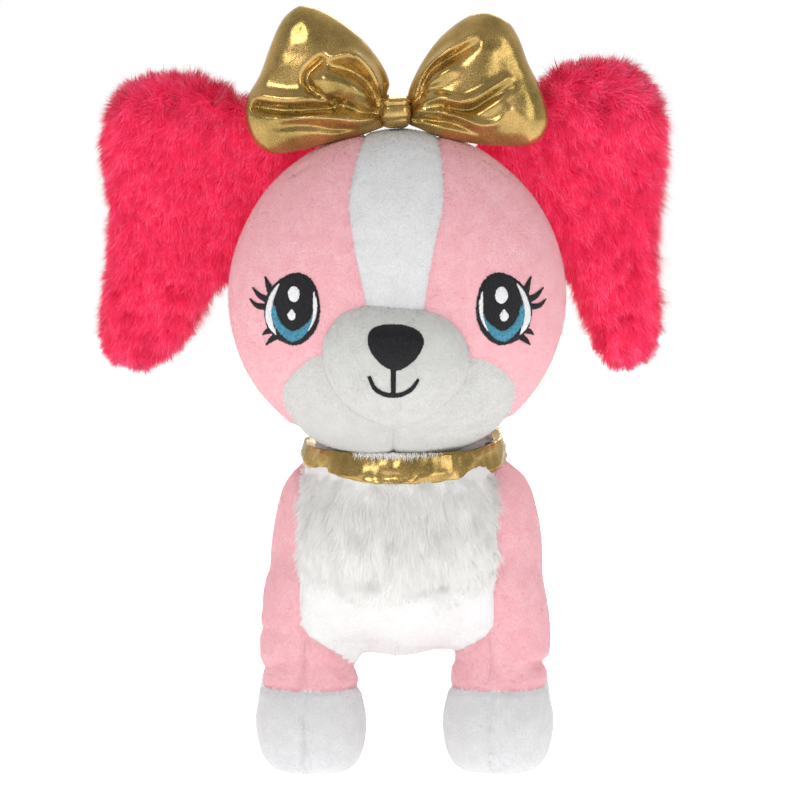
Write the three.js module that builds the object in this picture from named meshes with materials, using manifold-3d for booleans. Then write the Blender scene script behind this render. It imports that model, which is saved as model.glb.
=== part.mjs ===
// Interactive plush puppy: sewn covers over a stuffed body, with a small motion and sound unit inside.
// Millimetres, +Z up. The puppy faces -Y, so its own left side is +X. It stands on its four paws at z = 0.
import * as THREE from "three";
import { ConvexGeometry } from "three/addons/geometries/ConvexGeometry.js";
import { mergeVertices } from "three/addons/utils/BufferGeometryUtils.js";
import Module from "manifold-3d";

const wasm = await Module();
wasm.setup();

// ---------- driving dimensions ----------
const COVER = 2.5; // thickness of the sewn plush covers
const GAP = 0.35; // air left between separate pieces
const ORIGIN = [10.62, -35.4]; // moves the whole toy so that z = 0 below its middle is the origin

const HEAD_X = -4; // the soft head sits this far off the neck axis, to the puppy's right
const HEAD = { center: [0, -18, 252], radii: [87.5, 76, 87] };
const EAR_PLANE_Y = 8; // side seam of the head, where the ears are sewn in
const MUZZLE = { center: [0, -82, 218.5], radii: [37.5, 30, 31.5] };
const PIVOT = [0, 0, 252]; // nodding pivot, on the neck axis
const TURN_LIMITS = [-30, 30]; // degrees
const NOD_LIMITS = [-10, 10];
const HEAD_CLEARANCE = 4; // air round the turning head, part of it taken up by the flats of its room

// Body sections from the chest back: y, [x, z] of the middle, [half width, half height].
const BODY = [
  [-52, [0, 119], [6, 5]],
  [-49, [0, 119], [24, 21]],
  [-40, [0, 119], [43, 36.5]],
  [-25, [0, 119], [58, 49]],
  [-5, [0, 119], [67, 56]],
  [20, [0, 118], [67.5, 56]],
  [50, [0, 113], [65, 51]],
  [85, [0, 109], [66, 48]],
  [115, [0, 108], [60, 44.5]],
  [134, [0, 108], [45, 34]],
  [144, [0, 108], [26, 20]],
  [147.5, [0, 108], [8, 6]],
];
// Neck sections from the shoulders up: z, [x, y] of the middle, [half width, half depth].
const NECK = [
  [122, [0, 0], [60, 50]],
  [146, [0, 0], [63, 52]],
  [158, [0, 0], [57, 47.5]],
  [172, [0, 0], [50.5, 44]],
  [200, [0, 0], [46, 40.5]],
];
const NECK_DEPTH = 0.88; // depth of the collar over its width
const COLLAR = { radius: 49.5, wall: 2.5, height: 15, z: 163, tilt: 7 };

// Leg sections, from the sole up: height, [x, y] of the middle, [half width, half depth].
const FRONT_LEG = {
  hip: [50, -10, 88],
  sections: [
    [0, [49, -16], [22, 25]],
    [4, [49, -16], [27, 31]],
    [14, [49, -16], [29.5, 34]],
    [27, [49, -15], [29.5, 33]],
    [40, [49, -13], [27, 29]],
    [50, [49.5, -11], [25, 26]],
    [70, [50, -10], [26, 26.5]],
    [88, [50, -10], [27, 27]],
    [102, [50, -10], [23, 23]],
    [111, [50, -10], [13.5, 13.5]],
    [114.5, [50, -10], [5, 5]],
  ],
};
const REAR_LEG = {
  hip: [53, 96, 84],
  sections: [
    [0, [53, 91], [20, 24]],
    [4, [53, 91], [25, 29]],
    [14, [53, 91], [27, 32]],
    [27, [53, 92], [27, 31]],
    [40, [53, 94], [25, 27.5]],
    [50, [53, 95], [23, 24]],
    [68, [53, 96], [24.5, 25]],
    [84, [53, 96], [25, 25]],
    [97, [53, 96], [21.3, 21.3]],
    [105, [53, 96], [13, 13]],
    [108.5, [53, 96], [4.5, 4.5]],
  ],
};
const PAW_SEAM_Z = 46;
const LEG_LIMITS = [-15, 15];
const LEG_CLEARANCE = 1.4;

const TAIL = { root: [0, 139, 126], tip: [0, 169, 166], rootRadius: 12, tipRadius: 16 };
const WAG_LIMITS = [-30, 30];
const EAR_LIMITS = [-20, 20];
const EAR_THICKNESS = 26;

const BIB_X = -4; // the white bib lies this far off the body's middle plane
const CASE = { x: [-25, 25], y: [20, 82], z: [69, 100], lidTop: 132, wall: 2 };
const MOTOR_BAY = { x: [-13, 13], y: [7, 24], z: [86, 100] }; // juts forward between the front legs
const GEARBOX = { x: [-20, 20], y: [-20, 24], z: [113, 132] }; // the part of the lid that reaches under the neck
const BATTERY = { radius: 5.2, length: 44, pitch: 11.2, y: 30, z: 77 };
const GEAR = { module: 1, neckTeeth: 30, pinionTeeth: 10, z: 121, width: 4 };
const SHAFT_RADIUS = 4;

// ---------- materials ----------
const finish = (color, roughness, metalness = 0) => new THREE.MeshStandardMaterial({ color, roughness, metalness });
const PINK = finish(0xf3b3bd, 0.95);
const WHITE = finish(0xe9e8e6, 0.95);
const HOT_PINK = finish(0xee2f60, 0.95);
const GOLD = finish(0xb08a3c, 0.3, 0.85);
const THREAD = finish(0x0d0c0e, 0.6);
const STUFFING = finish(0xf4f4f2, 1);
const CASE_PLASTIC = finish(0xd9dadc, 0.5);
const DARK_PLASTIC = finish(0x2c2d30, 0.45);
const NYLON = finish(0xf0ead8, 0.4);
const BOARD = finish(0x1f6b3a, 0.5);
const STEEL = finish(0xa9adb2, 0.35, 0.9);
const CELL = finish(0x3b4a58, 0.4, 0.4);

// ---------- geometry helpers: each returns a plain geometry in place ----------
const ellipsoid = ({ center, radii }, grow = 0, around = 20, up = 12) =>
  new THREE.SphereGeometry(1, around, up)
    .rotateX(Math.PI / 2)
    .scale(...radii.map((r) => r + grow))
    .translate(...center);

const ball = (center, radius, around = 14, up = 8) => ellipsoid({ center, radii: [radius, radius, radius] }, 0, around, up);

const box = ([x0, x1], [y0, y1], [z0, z1]) =>
  new THREE.BoxGeometry(x1 - x0, y1 - y0, z1 - z0).translate((x0 + x1) / 2, (y0 + y1) / 2, (z0 + z1) / 2);

// A round bar or cone between two points.
const bar = (from, to, radiusFrom, radiusTo = radiusFrom, sides = 14) => {
  const a = new THREE.Vector3(...from);
  const b = new THREE.Vector3(...to);
  const turn = new THREE.Quaternion().setFromUnitVectors(new THREE.Vector3(0, 1, 0), b.clone().sub(a).normalize());
  const geometry = new THREE.CylinderGeometry(radiusTo, radiusFrom, a.distanceTo(b), sides);
  return geometry.applyQuaternion(turn).translate(...a.add(b).multiplyScalar(0.5).toArray());
};

// A closed skin through flat rings. Each ring is [position along the axis, [centre], [half sizes]]; the rings of a
// leg stack along Z and those of the body along Y.
const loft = (rings, toPoint, sides) => {
  const positions = rings.flatMap(([at, centre, half]) =>
    Array.from({ length: sides }, (_, i) => {
      const angle = ((i + 0.5) / sides) * 2 * Math.PI;
      return toPoint(at, centre[0] + half[0] * Math.cos(angle), centre[1] + half[1] * Math.sin(angle));
    }).flat(),
  );
  const ends = [rings[0], rings.at(-1)].flatMap(([at, centre]) => toPoint(at, ...centre));
  const faces = [];
  const [first, last] = [rings.length * sides, rings.length * sides + 1];
  for (let i = 0; i < sides; i++) {
    const next = (i + 1) % sides;
    faces.push(first, next, i);
    for (let row = 0; row < rings.length - 1; row++) {
      const [a, b] = [row * sides + i, row * sides + next];
      faces.push(a, b, b + sides, a, b + sides, a + sides);
    }
    const top = (rings.length - 1) * sides;
    faces.push(last, top + i, top + next);
  }
  const geometry = new THREE.BufferGeometry();
  geometry.setAttribute("position", new THREE.Float32BufferAttribute([...positions, ...ends], 3));
  return geometry.setIndex(faces);
};
const upwards = (z, x, y) => [x, y, z];
const backwards = (y, x, z) => [-x, y, z];
const grownRings = (rings, grow) => rings.map(([at, centre, half]) => [at, centre, half.map((v) => Math.max(v + grow, 0.5))]);

// An outline drawn in the XZ plane, extruded from y0 to y1.
const frontPrism = (shape, [y0, y1], bevel = 0) => {
  const options = { depth: y1 - y0 - 2 * bevel, curveSegments: 8, bevelEnabled: bevel > 0, bevelSegments: 2 };
  if (bevel > 0) Object.assign(options, { bevelSize: bevel, bevelThickness: bevel, bevelOffset: -bevel });
  return new THREE.ExtrudeGeometry(shape, options).translate(0, 0, bevel).rotateX(Math.PI / 2).translate(0, y1, 0);
};
// An outline drawn in the YZ plane, extruded from x0 to x1.
const sidePrism = (points, [x0, x1]) =>
  frontPrism(polygon(points), [-x1, -x0]).rotateZ(Math.PI / 2);

const polygon = (points) => new THREE.Shape(points.map(([x, z]) => new THREE.Vector2(x, z)));
const splineShape = (points, count) => {
  const curve = new THREE.CatmullRomCurve3(points.map(([x, z]) => new THREE.Vector3(x, z, 0)), true, "centripetal");
  return new THREE.Shape(curve.getPoints(count).slice(0, -1).map((p) => new THREE.Vector2(p.x, p.y)));
};
const mirrored = (points) => points.map(([x, z]) => [-x, z]).reverse();
const shifted = (points, dx) => points.map(([x, z]) => [x + dx, z]);

// The geometry turned about an axis through a point, by degrees.
const turned = (geometry, point, axis, degrees) => {
  const turn = new THREE.Matrix4().makeRotationAxis(new THREE.Vector3(...axis).normalize(), (degrees * Math.PI) / 180);
  const back = point.map((v) => -v);
  return geometry.clone().translate(...back).applyMatrix4(turn).translate(...point);
};

// The convex shape around several geometries.
const wrap = (geometries) => {
  const points = [];
  for (const { attributes } of geometries)
    for (let i = 0; i < attributes.position.count; i++)
      points.push(new THREE.Vector3().fromBufferAttribute(attributes.position, i));
  return new ConvexGeometry(points);
};

const between = ([low, high], count) => Array.from({ length: count }, (_, i) => low + ((high - low) * i) / (count - 1));
const X_AXIS = [1, 0, 0];
const Z_AXIS = [0, 0, 1];
const SIDES = [
  ["left", 1],
  ["right", -1],
];

// ---------- solid helpers ----------
const solid = (geometry) => {
  const bare = geometry.index ? geometry.toNonIndexed() : geometry.clone();
  for (const name of Object.keys(bare.attributes)) if (name !== "position") bare.deleteAttribute(name);
  const merged = mergeVertices(bare, 1e-3);
  const vertProperties = new Float32Array(merged.attributes.position.array);
  const triVerts = new Uint32Array(merged.index.array);
  return new wasm.Manifold(new wasm.Mesh({ numProp: 3, vertProperties, triVerts }));
};
const asSolid = (shape) => (shape.isBufferGeometry ? solid(shape) : shape);
const unite = (...shapes) => shapes.map(asSolid).reduce((sum, shape) => sum.add(shape));
const cut = (shape, ...tools) => tools.map(asSolid).reduce((rest, tool) => rest.subtract(tool), asSolid(shape));
const common = (...shapes) => shapes.map(asSolid).reduce((rest, shape) => rest.intersect(shape));
const biggest = (shape) => shape.decompose().sort((a, b) => b.volume() - a.volume())[0];

const toy = new THREE.Group();
const body = new THREE.Group(); // drawn about the body's middle plane, which holds the neck axis
const head = new THREE.Group(); // drawn about the head's own middle plane
head.position.x = HEAD_X;
toy.add(body, head);

const place = (group, name, shape, material) => {
  const { vertProperties, triVerts } = asSolid(shape).getMesh();
  const geometry = new THREE.BufferGeometry();
  geometry.setAttribute("position", new THREE.BufferAttribute(new Float32Array(vertProperties), 3));
  geometry.setIndex(new THREE.BufferAttribute(new Uint32Array(triVerts), 1));
  geometry.computeVertexNormals();
  const mesh = new THREE.Mesh(geometry, material);
  mesh.name = name;
  group.add(mesh);
};

// ---------- legs ----------
const onSide = ([x, y, z], side) => [x * side, y, z];

const legShape = ({ sections }, side, grow, sides = 12) => {
  const rings = sections.map(([z, [x, y], half]) => [z, [x * side, y], half]);
  const [lowest, highest] = [rings[0][0], rings.at(-1)[0]];
  const placed = rings.map(([z, ...rest]) => [z === lowest ? z - grow : z === highest ? z + grow : z, ...rest]);
  return loft(grownRings(placed, grow), upwards, sides);
};
// The room a leg swings through, cut out of the body.
const legRoom = (leg, side) => {
  const upper = { sections: leg.sections.slice(4) };
  return wrap(
    LEG_LIMITS.map((angle) => turned(legShape(upper, side, LEG_CLEARANCE), onSide(leg.hip, side), X_AXIS, angle)),
  );
};

const addLeg = (name, leg, side) => {
  const skin = cut(legShape(leg, side, 0), legShape(leg, side, -COVER));
  const sleeveZone = box([-200, 200], [-200, 200], [PAW_SEAM_Z + GAP / 2, 200]);
  const pawZone = box([-200, 200], [-200, 200], [-1, PAW_SEAM_Z - GAP / 2]);
  place(body, `${name}_leg_cover`, common(skin, sleeveZone), PINK);
  place(body, `${name}_paw_cover`, common(skin, pawZone), WHITE);
  place(body, `${name}_leg_filling`, legShape(leg, side, -COVER - GAP), STUFFING);
};

for (const [word, side] of SIDES) {
  addLeg(`front_${word}`, FRONT_LEG, side);
  addLeg(`rear_${word}`, REAR_LEG, side);
}

// ---------- tail ----------
const tailPieces = (grow) => [
  ball(TAIL.root, TAIL.rootRadius + grow, 12, 8),
  ball(TAIL.tip, TAIL.tipRadius + grow, 12, 8),
];
place(body, "tail", wrap(tailPieces(0)), HOT_PINK);
const tailRoom = wrap(
  between(WAG_LIMITS, 3).flatMap((angle) => tailPieces(LEG_CLEARANCE).map((piece) => turned(piece, TAIL.root, Z_AXIS, angle))),
);

const headShape = (grow) => ellipsoid(HEAD, grow, 22, 14);
const muzzleShape = (grow) => ellipsoid(MUZZLE, grow, 18, 10);

// ---------- the room the head turns and nods through ----------
const headRoom = wrap(
  between(TURN_LIMITS, 3).flatMap((turn) =>
    between(NOD_LIMITS, 2).map((nod) => {
      const outer = ellipsoid(HEAD, HEAD_CLEARANCE, 16, 10).translate(HEAD_X, 0, 0);
      return turned(turned(outer, PIVOT, X_AXIS, nod), PIVOT, Z_AXIS, turn);
    }),
  ),
);

// ---------- motion and sound unit ----------
const DOOR = { x: [-23.6, 23.6], y: [22.8, 61.5], z: [CASE.z[0], CASE.z[0] + 1.7] };
const DOOR_TAB = { x: [-4.5, 4.5], y: [60, 69] };
const BAY = { x: [-22.6, 22.6], y: [24, 59], z: [CASE.z[0] - 1, 82.6] };
const SCREW = [0, 65];
const BUTTON = [-14, 38];
const SPEAKER = [9, 60];
const inward = ([low, high], by) => [low + by, high - by];
const upright = (at, [z0, z1], radius, top = radius, sides = 12) => bar([...at, z0], [...at, z1], radius, top, sides);

const caseLower = cut(
  unite(box(CASE.x, CASE.y, CASE.z), box(MOTOR_BAY.x, MOTOR_BAY.y, MOTOR_BAY.z)),
  box(BAY.x, BAY.y, BAY.z),
  box(DOOR.x, DOOR.y, [CASE.z[0] - 1, CASE.z[0] + 2.1]),
  box(DOOR_TAB.x, DOOR_TAB.y, [CASE.z[0] - 1, CASE.z[0] + 2.1]),
  box(inward(CASE.x, CASE.wall), inward(CASE.y, CASE.wall), [84.4, CASE.z[1] + 1]),
  box(inward(MOTOR_BAY.x, CASE.wall), inward(MOTOR_BAY.y, CASE.wall), [88, CASE.z[1] + 1]),
  box([-6, 6], [72, 77], [CASE.z[0] - 1, 85]),
  upright(SCREW, [60, 77], 1.5 + GAP),
);
place(body, "case_lower", caseLower, CASE_PLASTIC);

const door = cut(
  unite(box(inward(DOOR.x, GAP), inward(DOOR.y, GAP), DOOR.z), box(inward(DOOR_TAB.x, GAP), inward(DOOR_TAB.y, GAP), DOOR.z)),
  upright(SCREW, [60, 72], 1.5 + GAP),
);
place(body, "battery_door", door, CASE_PLASTIC);
const screw = unite(upright(SCREW, [67.3, 68.6], 2.9), upright(SCREW, [68.4, 76], 1.5));
place(body, "battery_door_screw", screw, STEEL);

for (let i = 0; i < 3; i++) {
  const y = BATTERY.y + i * BATTERY.pitch;
  const end = BATTERY.length / 2;
  const can = bar([-end, y, BATTERY.z], [end - 1.2, y, BATTERY.z], BATTERY.radius, BATTERY.radius, 12);
  const terminal = bar([end - 2, y, BATTERY.z], [end, y, BATTERY.z], 1.9, 1.9, 8);
  place(body, `battery_${i + 1}`, unite(can, terminal), CELL);
}

place(body, "circuit_board", box([-22, 22], [40, 79], [87, 88.6]), BOARD);

const pinionY = (GEAR.module * (GEAR.neckTeeth + GEAR.pinionTeeth)) / 2;
const motor = unite(upright([0, pinionY], [89, 116], 10, 10, 16), upright([0, pinionY], [115.5, 118], 3.4));
place(body, "motor", motor, STEEL);

const lidOuter = unite(
  box(CASE.x, CASE.y, [CASE.z[1] + GAP, CASE.lidTop]),
  box(MOTOR_BAY.x, MOTOR_BAY.y, [CASE.z[1] + GAP, CASE.lidTop]),
  box(GEARBOX.x, GEARBOX.y, GEARBOX.z),
);
const roof = CASE.lidTop - CASE.wall;
const lidRoom = unite(
  box(inward(CASE.x, CASE.wall), inward(CASE.y, CASE.wall), [CASE.z[1] - 1, roof]),
  box(inward(MOTOR_BAY.x, CASE.wall), inward(MOTOR_BAY.y, CASE.wall), [CASE.z[1] - 1, roof]),
  box(inward(GEARBOX.x, CASE.wall), inward(GEARBOX.y, CASE.wall), [GEARBOX.z[0] + CASE.wall, roof]),
);
const grille = between([-8, 8], 5).map((dx) =>
  box([SPEAKER[0] + dx - 0.9, SPEAKER[0] + dx + 0.9], [SPEAKER[1] - 9, SPEAKER[1] + 9], [125, 140]),
);
const lid = cut(
  lidOuter,
  lidRoom,
  upright([0, 0], [125, 140], 7 + GAP),
  upright([0, 0], [110, 118], SHAFT_RADIUS + GAP),
  upright(BUTTON, [120, 140], 6 + GAP),
  ...grille,
);
place(body, "case_upper", lid, CASE_PLASTIC);

const speaker = unite(upright(SPEAKER, [126.4, 129.6], 13, 13, 18), upright(SPEAKER, [118, 126.6], 6, 10, 18));
place(body, "speaker", speaker, DARK_PLASTIC);
place(body, "neck_bush", cut(upright([0, 0], [128, 133], 7), upright([0, 0], [120, 140], SHAFT_RADIUS + GAP)), NYLON);

// A spur gear blank with straight-flanked teeth, standing at z = GEAR.z on the point [x, y].
const gear = (teeth, phase, [x, y]) => {
  const profile = [
    [-0.3, -1.15],
    [-0.13, 0.85],
    [0.13, 0.85],
    [0.3, -1.15],
  ];
  const points = Array.from({ length: teeth }, (_, tooth) =>
    profile.map(([share, height]) => {
      const angle = ((tooth + phase + share) / teeth) * 2 * Math.PI;
      const radius = GEAR.module * (teeth / 2 + height);
      return new THREE.Vector2(radius * Math.cos(angle), radius * Math.sin(angle));
    }),
  ).flat();
  const options = { depth: GEAR.width, bevelEnabled: false };
  return new THREE.ExtrudeGeometry(new THREE.Shape(points), options).translate(x, y, GEAR.z);
};
const neckGear = cut(gear(GEAR.neckTeeth, 0, [0, 0]), upright([0, 0], [100, 140], SHAFT_RADIUS + GAP));
place(body, "neck_gear", neckGear, NYLON);
place(body, "motor_pinion", gear(GEAR.pinionTeeth, 0.5, [0, pinionY]), NYLON);

const alongPivot = (halfLength, radius) => bar([-halfLength, 0, PIVOT[2]], [halfLength, 0, PIVOT[2]], radius, radius, 16);
const shaft = cut(unite(upright([0, 0], [114, 246], SHAFT_RADIUS), alongPivot(4, 8)), alongPivot(20, 2.5 + GAP));
place(body, "neck_shaft", shaft, STEEL);
place(body, "head_pivot_pin", alongPivot(13, 2.5), STEEL);
const frame = cut(
  box([-12, 12], [-8, 8], [PIVOT[2] - 8, PIVOT[2] + 24]),
  box([-6, 6], [-9, 9], [PIVOT[2] - 9, PIVOT[2] + 20]),
  alongPivot(20, 2.5 + GAP),
);
place(body, "head_frame", frame, CASE_PLASTIC);

const slider = unite(box([-3, 3], [72.6, 76.4], [70, 73]), box([-1.5, 1.5], [73.4, 75.6], [67.2, 70.5]));
place(body, "power_switch", slider, DARK_PLASTIC);
place(body, "press_button", unite(upright(BUTTON, [129, 135], 6), upright(BUTTON, [127, 129.6], 7.5)), DARK_PLASTIC);

// ---------- body ----------
const neckRing = (radius, height) =>
  new THREE.CylinderGeometry(radius, radius, height, 24).rotateX(Math.PI / 2).scale(1, NECK_DEPTH, 1);
const tilted = (geometry) => geometry.rotateX((COLLAR.tilt * Math.PI) / 180).translate(0, 0, COLLAR.z);

const bodyRings = (grow) => {
  const [first, last] = [BODY[0][0], BODY.at(-1)[0]];
  const moved = BODY.map(([y, ...rest]) => [y === first ? y - grow : y === last ? y + grow : y, ...rest]);
  return grownRings(moved, grow);
};
const bodyShape = (grow) =>
  unite(loft(bodyRings(grow), backwards, 18), loft(grownRings(NECK, grow), upwards, 18));
const collarRoom = cut(
  tilted(neckRing(90, COLLAR.height + 2 * GAP)),
  tilted(neckRing(COLLAR.radius - GAP, COLLAR.height + 20)),
);
const movingRoom = unite(
  ...SIDES.flatMap(([, side]) => [legRoom(FRONT_LEG, side), legRoom(REAR_LEG, side)]),
  tailRoom,
  headRoom,
  collarRoom,
  upright([0, 0], [100, 220], SHAFT_RADIUS + 3),
);
const FLAP = { x: [-25, 25], y: [20, 82] };
const access = box(FLAP.x, FLAP.y, [30, 70]);
const around = (zone, z) => box(inward(zone.x, -1), inward(zone.y, -1), z);
const unitRoom = unite(
  around(CASE, [CASE.z[0] - 1, CASE.lidTop + 1]),
  around(MOTOR_BAY, [MOTOR_BAY.z[0] - 1, CASE.lidTop + 1]),
  around(GEARBOX, [GEARBOX.z[0] - 1, CASE.lidTop + 1]),
  upright(BUTTON, [130, 137], 8),
  upright([0, 0], [130, 135], 9),
);
const filling = biggest(cut(bodyShape(-COVER - GAP), movingRoom, unitRoom, access));
place(body, "body_filling", filling, STUFFING);

// The white bib runs from the collar to between the front legs. The belly panel is the underside behind it.
const wholeSkin = cut(bodyShape(0), bodyShape(-COVER));
const skin = cut(wholeSkin, movingRoom);
const BIB_BACK = 8;
const BELLY = { x: [-44, 44], z: [30, 76] };
const bibOutline = (grow) => {
  const side = [
    [14 + grow, 50],
    [44 + grow, 71],
    [50.4 + grow, 78],
    [51 + grow, 120],
    [50.4 + grow, 190],
  ];
  return shifted([...side, ...mirrored(side)], BIB_X);
};
place(body, "chest_panel", biggest(common(skin, frontPrism(polygon(bibOutline(0)), [-120, BIB_BACK]))), WHITE);
place(body, "belly_panel", biggest(cut(common(skin, box(BELLY.x, [BIB_BACK + GAP, 200], BELLY.z)), access, unitRoom)), WHITE);
place(body, "belly_flap", common(wholeSkin, box(inward(FLAP.x, GAP), inward(FLAP.y, GAP), [30, 76])), WHITE);
const pinkSkin = cut(
  skin,
  frontPrism(polygon(bibOutline(GAP)), [-120, BIB_BACK + GAP]),
  box(inward(BELLY.x, -GAP), [BIB_BACK - GAP, 200], inward(BELLY.z, -GAP)),
);
for (const [word, side] of SIDES) {
  const half = box(side > 0 ? [GAP / 2, 200] : [-200, -GAP / 2], [-200, 300], [0, 250]);
  place(body, `side_panel_${word}`, biggest(common(pinkSkin, half)), PINK);
}

const collar = cut(
  tilted(neckRing(COLLAR.radius + COLLAR.wall, COLLAR.height)),
  tilted(neckRing(COLLAR.radius, COLLAR.height + 20)),
  headRoom,
);
place(body, "collar", collar, GOLD);

// ---------- head ----------
const [, , pivotZ] = PIVOT;
const neckSlot = sidePrism(
  [
    [-9, pivotZ + 25],
    [-9, pivotZ - 9],
    [-26, 150],
    [26, 150],
    [9, pivotZ - 9],
    [9, pivotZ + 25],
  ],
  [-HEAD_X - 13.5, -HEAD_X + 13.5],
);
const headSkin = cut(headShape(0), headShape(-COVER), neckSlot);
place(head, "head_filling", cut(headShape(-COVER - GAP), neckSlot), STUFFING);

const blazeOutline = (grow) => {
  const left = [
    [17 + grow, 360],
    [20 + grow, 330],
    [22.8 + grow, 311],
    [22.4 + grow, 296],
    [19.4 + grow, 275],
    [15 + grow, 247],
    [15 + grow, 225],
  ];
  return [...left, ...mirrored(left)];
};
const chinOutline = (grow) => [
  [-20, 224 + grow],
  [36 + grow, 224 + grow],
  [45 + grow, 221 + grow],
  [53 + grow, 216.5 + grow],
  [58.5 + grow, 210],
  [60 + grow, 203],
  [58.5 + grow, 195],
  [54 + grow, 186 - grow],
  [46 + grow, 176 - grow],
  [30 + grow, 160 - grow],
  [-20, 150],
];
const frontDepth = [-160, EAR_PLANE_Y];
const chinZone = (grow) =>
  unite(frontPrism(polygon(chinOutline(grow)), frontDepth), frontPrism(polygon(mirrored(chinOutline(grow))), frontDepth));
const frontSkin = cut(common(headSkin, box([-200, 200], frontDepth, [100, 400])), muzzleShape(GAP));
const blazeZone = (grow) => frontPrism(polygon(blazeOutline(grow)), frontDepth);
place(head, "blaze_panel", biggest(cut(common(frontSkin, blazeZone(0)), chinZone(GAP))), WHITE);
for (const [word, side] of SIDES) {
  const half = box(side > 0 ? [GAP / 2, 200] : [-200, -GAP / 2], [-200, 200], [100, 400]);
  place(head, `face_panel_${word}`, biggest(cut(common(frontSkin, half), blazeZone(GAP), chinZone(GAP))), PINK);
  place(head, `chin_panel_${word}`, biggest(common(frontSkin, chinZone(0), half)), WHITE);
}
place(head, "head_back_panel", common(headSkin, box([-200, 200], [EAR_PLANE_Y + GAP, 200], [100, 400])), PINK);

const muzzleSkin = cut(muzzleShape(0), muzzleShape(-COVER), headShape(GAP));
place(head, "muzzle_cover", biggest(muzzleSkin), WHITE);
place(head, "muzzle_filling", biggest(cut(muzzleShape(-COVER - GAP), headShape(GAP))), STUFFING);

// ---------- embroidery: thin pads of thread that lie on the covers ----------
const embroidery = (shape, surface, thickness, back) =>
  common(cut(surface(GAP + thickness), surface(GAP)), frontPrism(shape, [frontDepth[0], back]));
const noseOutline = [
  [-14.6, 234],
  [-10, 238.7],
  [-1, 239.6],
  [8.5, 238.4],
  [13, 234.5],
  [12.8, 228.5],
  [7.5, 221.5],
  [-1.5, 217.9],
  [-9.5, 221.5],
  [-14, 228],
];
const mouthOutline = [
  [-2.8, 217],
  [-2.8, 206.6],
  [-8, 208.9],
  [-12.6, 213.8],
  [-14.6, 212.6],
  [-9.2, 206],
  [-1.8, 203.2],
  [7, 205.2],
  [12.2, 211.4],
  [10.4, 213],
  [6, 208.4],
  [-0.4, 206.4],
  [-0.4, 217],
];
for (const [word, side] of SIDES) {
  const outline = new THREE.Shape().absellipse(side * 54, 247, 14.4, 18.3, 0, 2 * Math.PI, false, 0);
  place(head, `eye_${word}`, embroidery(outline, headShape, 1, -40), THREAD);
}
place(head, "nose", embroidery(splineShape(noseOutline, 22), muzzleShape, 1.4, -90), THREAD);
place(head, "mouth", embroidery(polygon(mouthOutline), muzzleShape, 1, -90), THREAD);

// ---------- ears ----------
const earLeftOutline = [
  [56, 338],
  [73, 363],
  [85, 375],
  [107, 379],
  [130, 370],
  [142.5, 349],
  [143.5, 317],
  [139, 281],
  [139.5, 240],
  [133, 218],
  [117, 212],
  [106, 222],
  [91, 256],
  [70, 262],
  [52, 300],
];
const earRightOutline = [
  [-56, 338],
  [-76, 355],
  [-94, 366],
  [-117, 369],
  [-141, 362],
  [-155, 338],
  [-153.5, 300],
  [-153.5, 262],
  [-157, 232],
  [-147, 214.5],
  [-130, 213],
  [-112, 226],
  [-94, 253],
  [-72, 262],
  [-52, 300],
];
const EAR_HINGE = { point: [70, EAR_PLANE_Y, 300], axis: [-24, 0, 60] };
const ear = (outline, side) => {
  const half = EAR_THICKNESS / 2;
  const pad = frontPrism(splineShape(outline, 28), [EAR_PLANE_Y - half, EAR_PLANE_Y + half], 8);
  const point = onSide(EAR_HINGE.point, side);
  const axis = onSide(EAR_HINGE.axis, side);
  const heads = between(EAR_LIMITS, 3).map((angle) => turned(headShape(1.5), point, axis, angle));
  return biggest(cut(pad, ...heads));
};
place(head, "ear_left", ear(earLeftOutline, 1), HOT_PINK);
place(head, "ear_right", ear(earRightOutline, -1), HOT_PINK);

// ---------- bow ----------
const BOW_DEPTH = [-40, -16];
const bowLeftOutline = [
  [9.4, 355],
  [13, 372],
  [34, 389],
  [49, 395.5],
  [60, 391],
  [70, 367],
  [77, 345],
  [72, 332],
  [60, 330.5],
  [30, 334.5],
  [9.4, 342],
];
const bowRightOutline = [
  [-10.8, 356],
  [-14, 377],
  [-36, 397],
  [-50, 402],
  [-59, 395],
  [-70, 366],
  [-78, 350],
  [-73, 331],
  [-60, 327.5],
  [-30, 334],
  [-10.8, 343],
];
const bowLoop = (outline) => cut(frontPrism(splineShape(outline, 22), BOW_DEPTH, 4.5), headShape(GAP));
place(head, "bow_loop_left", bowLoop(bowLeftOutline), GOLD);
place(head, "bow_loop_right", bowLoop(bowRightOutline), GOLD);
const knot = new THREE.CylinderGeometry(8.4, 8.4, 17.4, 18).scale(1, 1, 1.5).rotateZ(Math.PI / 2).translate(-0.8, -28, 348.5);
place(head, "bow_knot", cut(knot, headShape(GAP)), GOLD);

toy.position.set(ORIGIN[0], ORIGIN[1], 0);
export default toy;
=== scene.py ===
"""The looks of the plush puppy toy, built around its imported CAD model. Sizes are in millimetres unless said."""

import math

import bmesh
import bpy
import numpy as np
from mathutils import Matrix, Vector, noise
from mathutils.bvhtree import BVHTree


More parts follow.
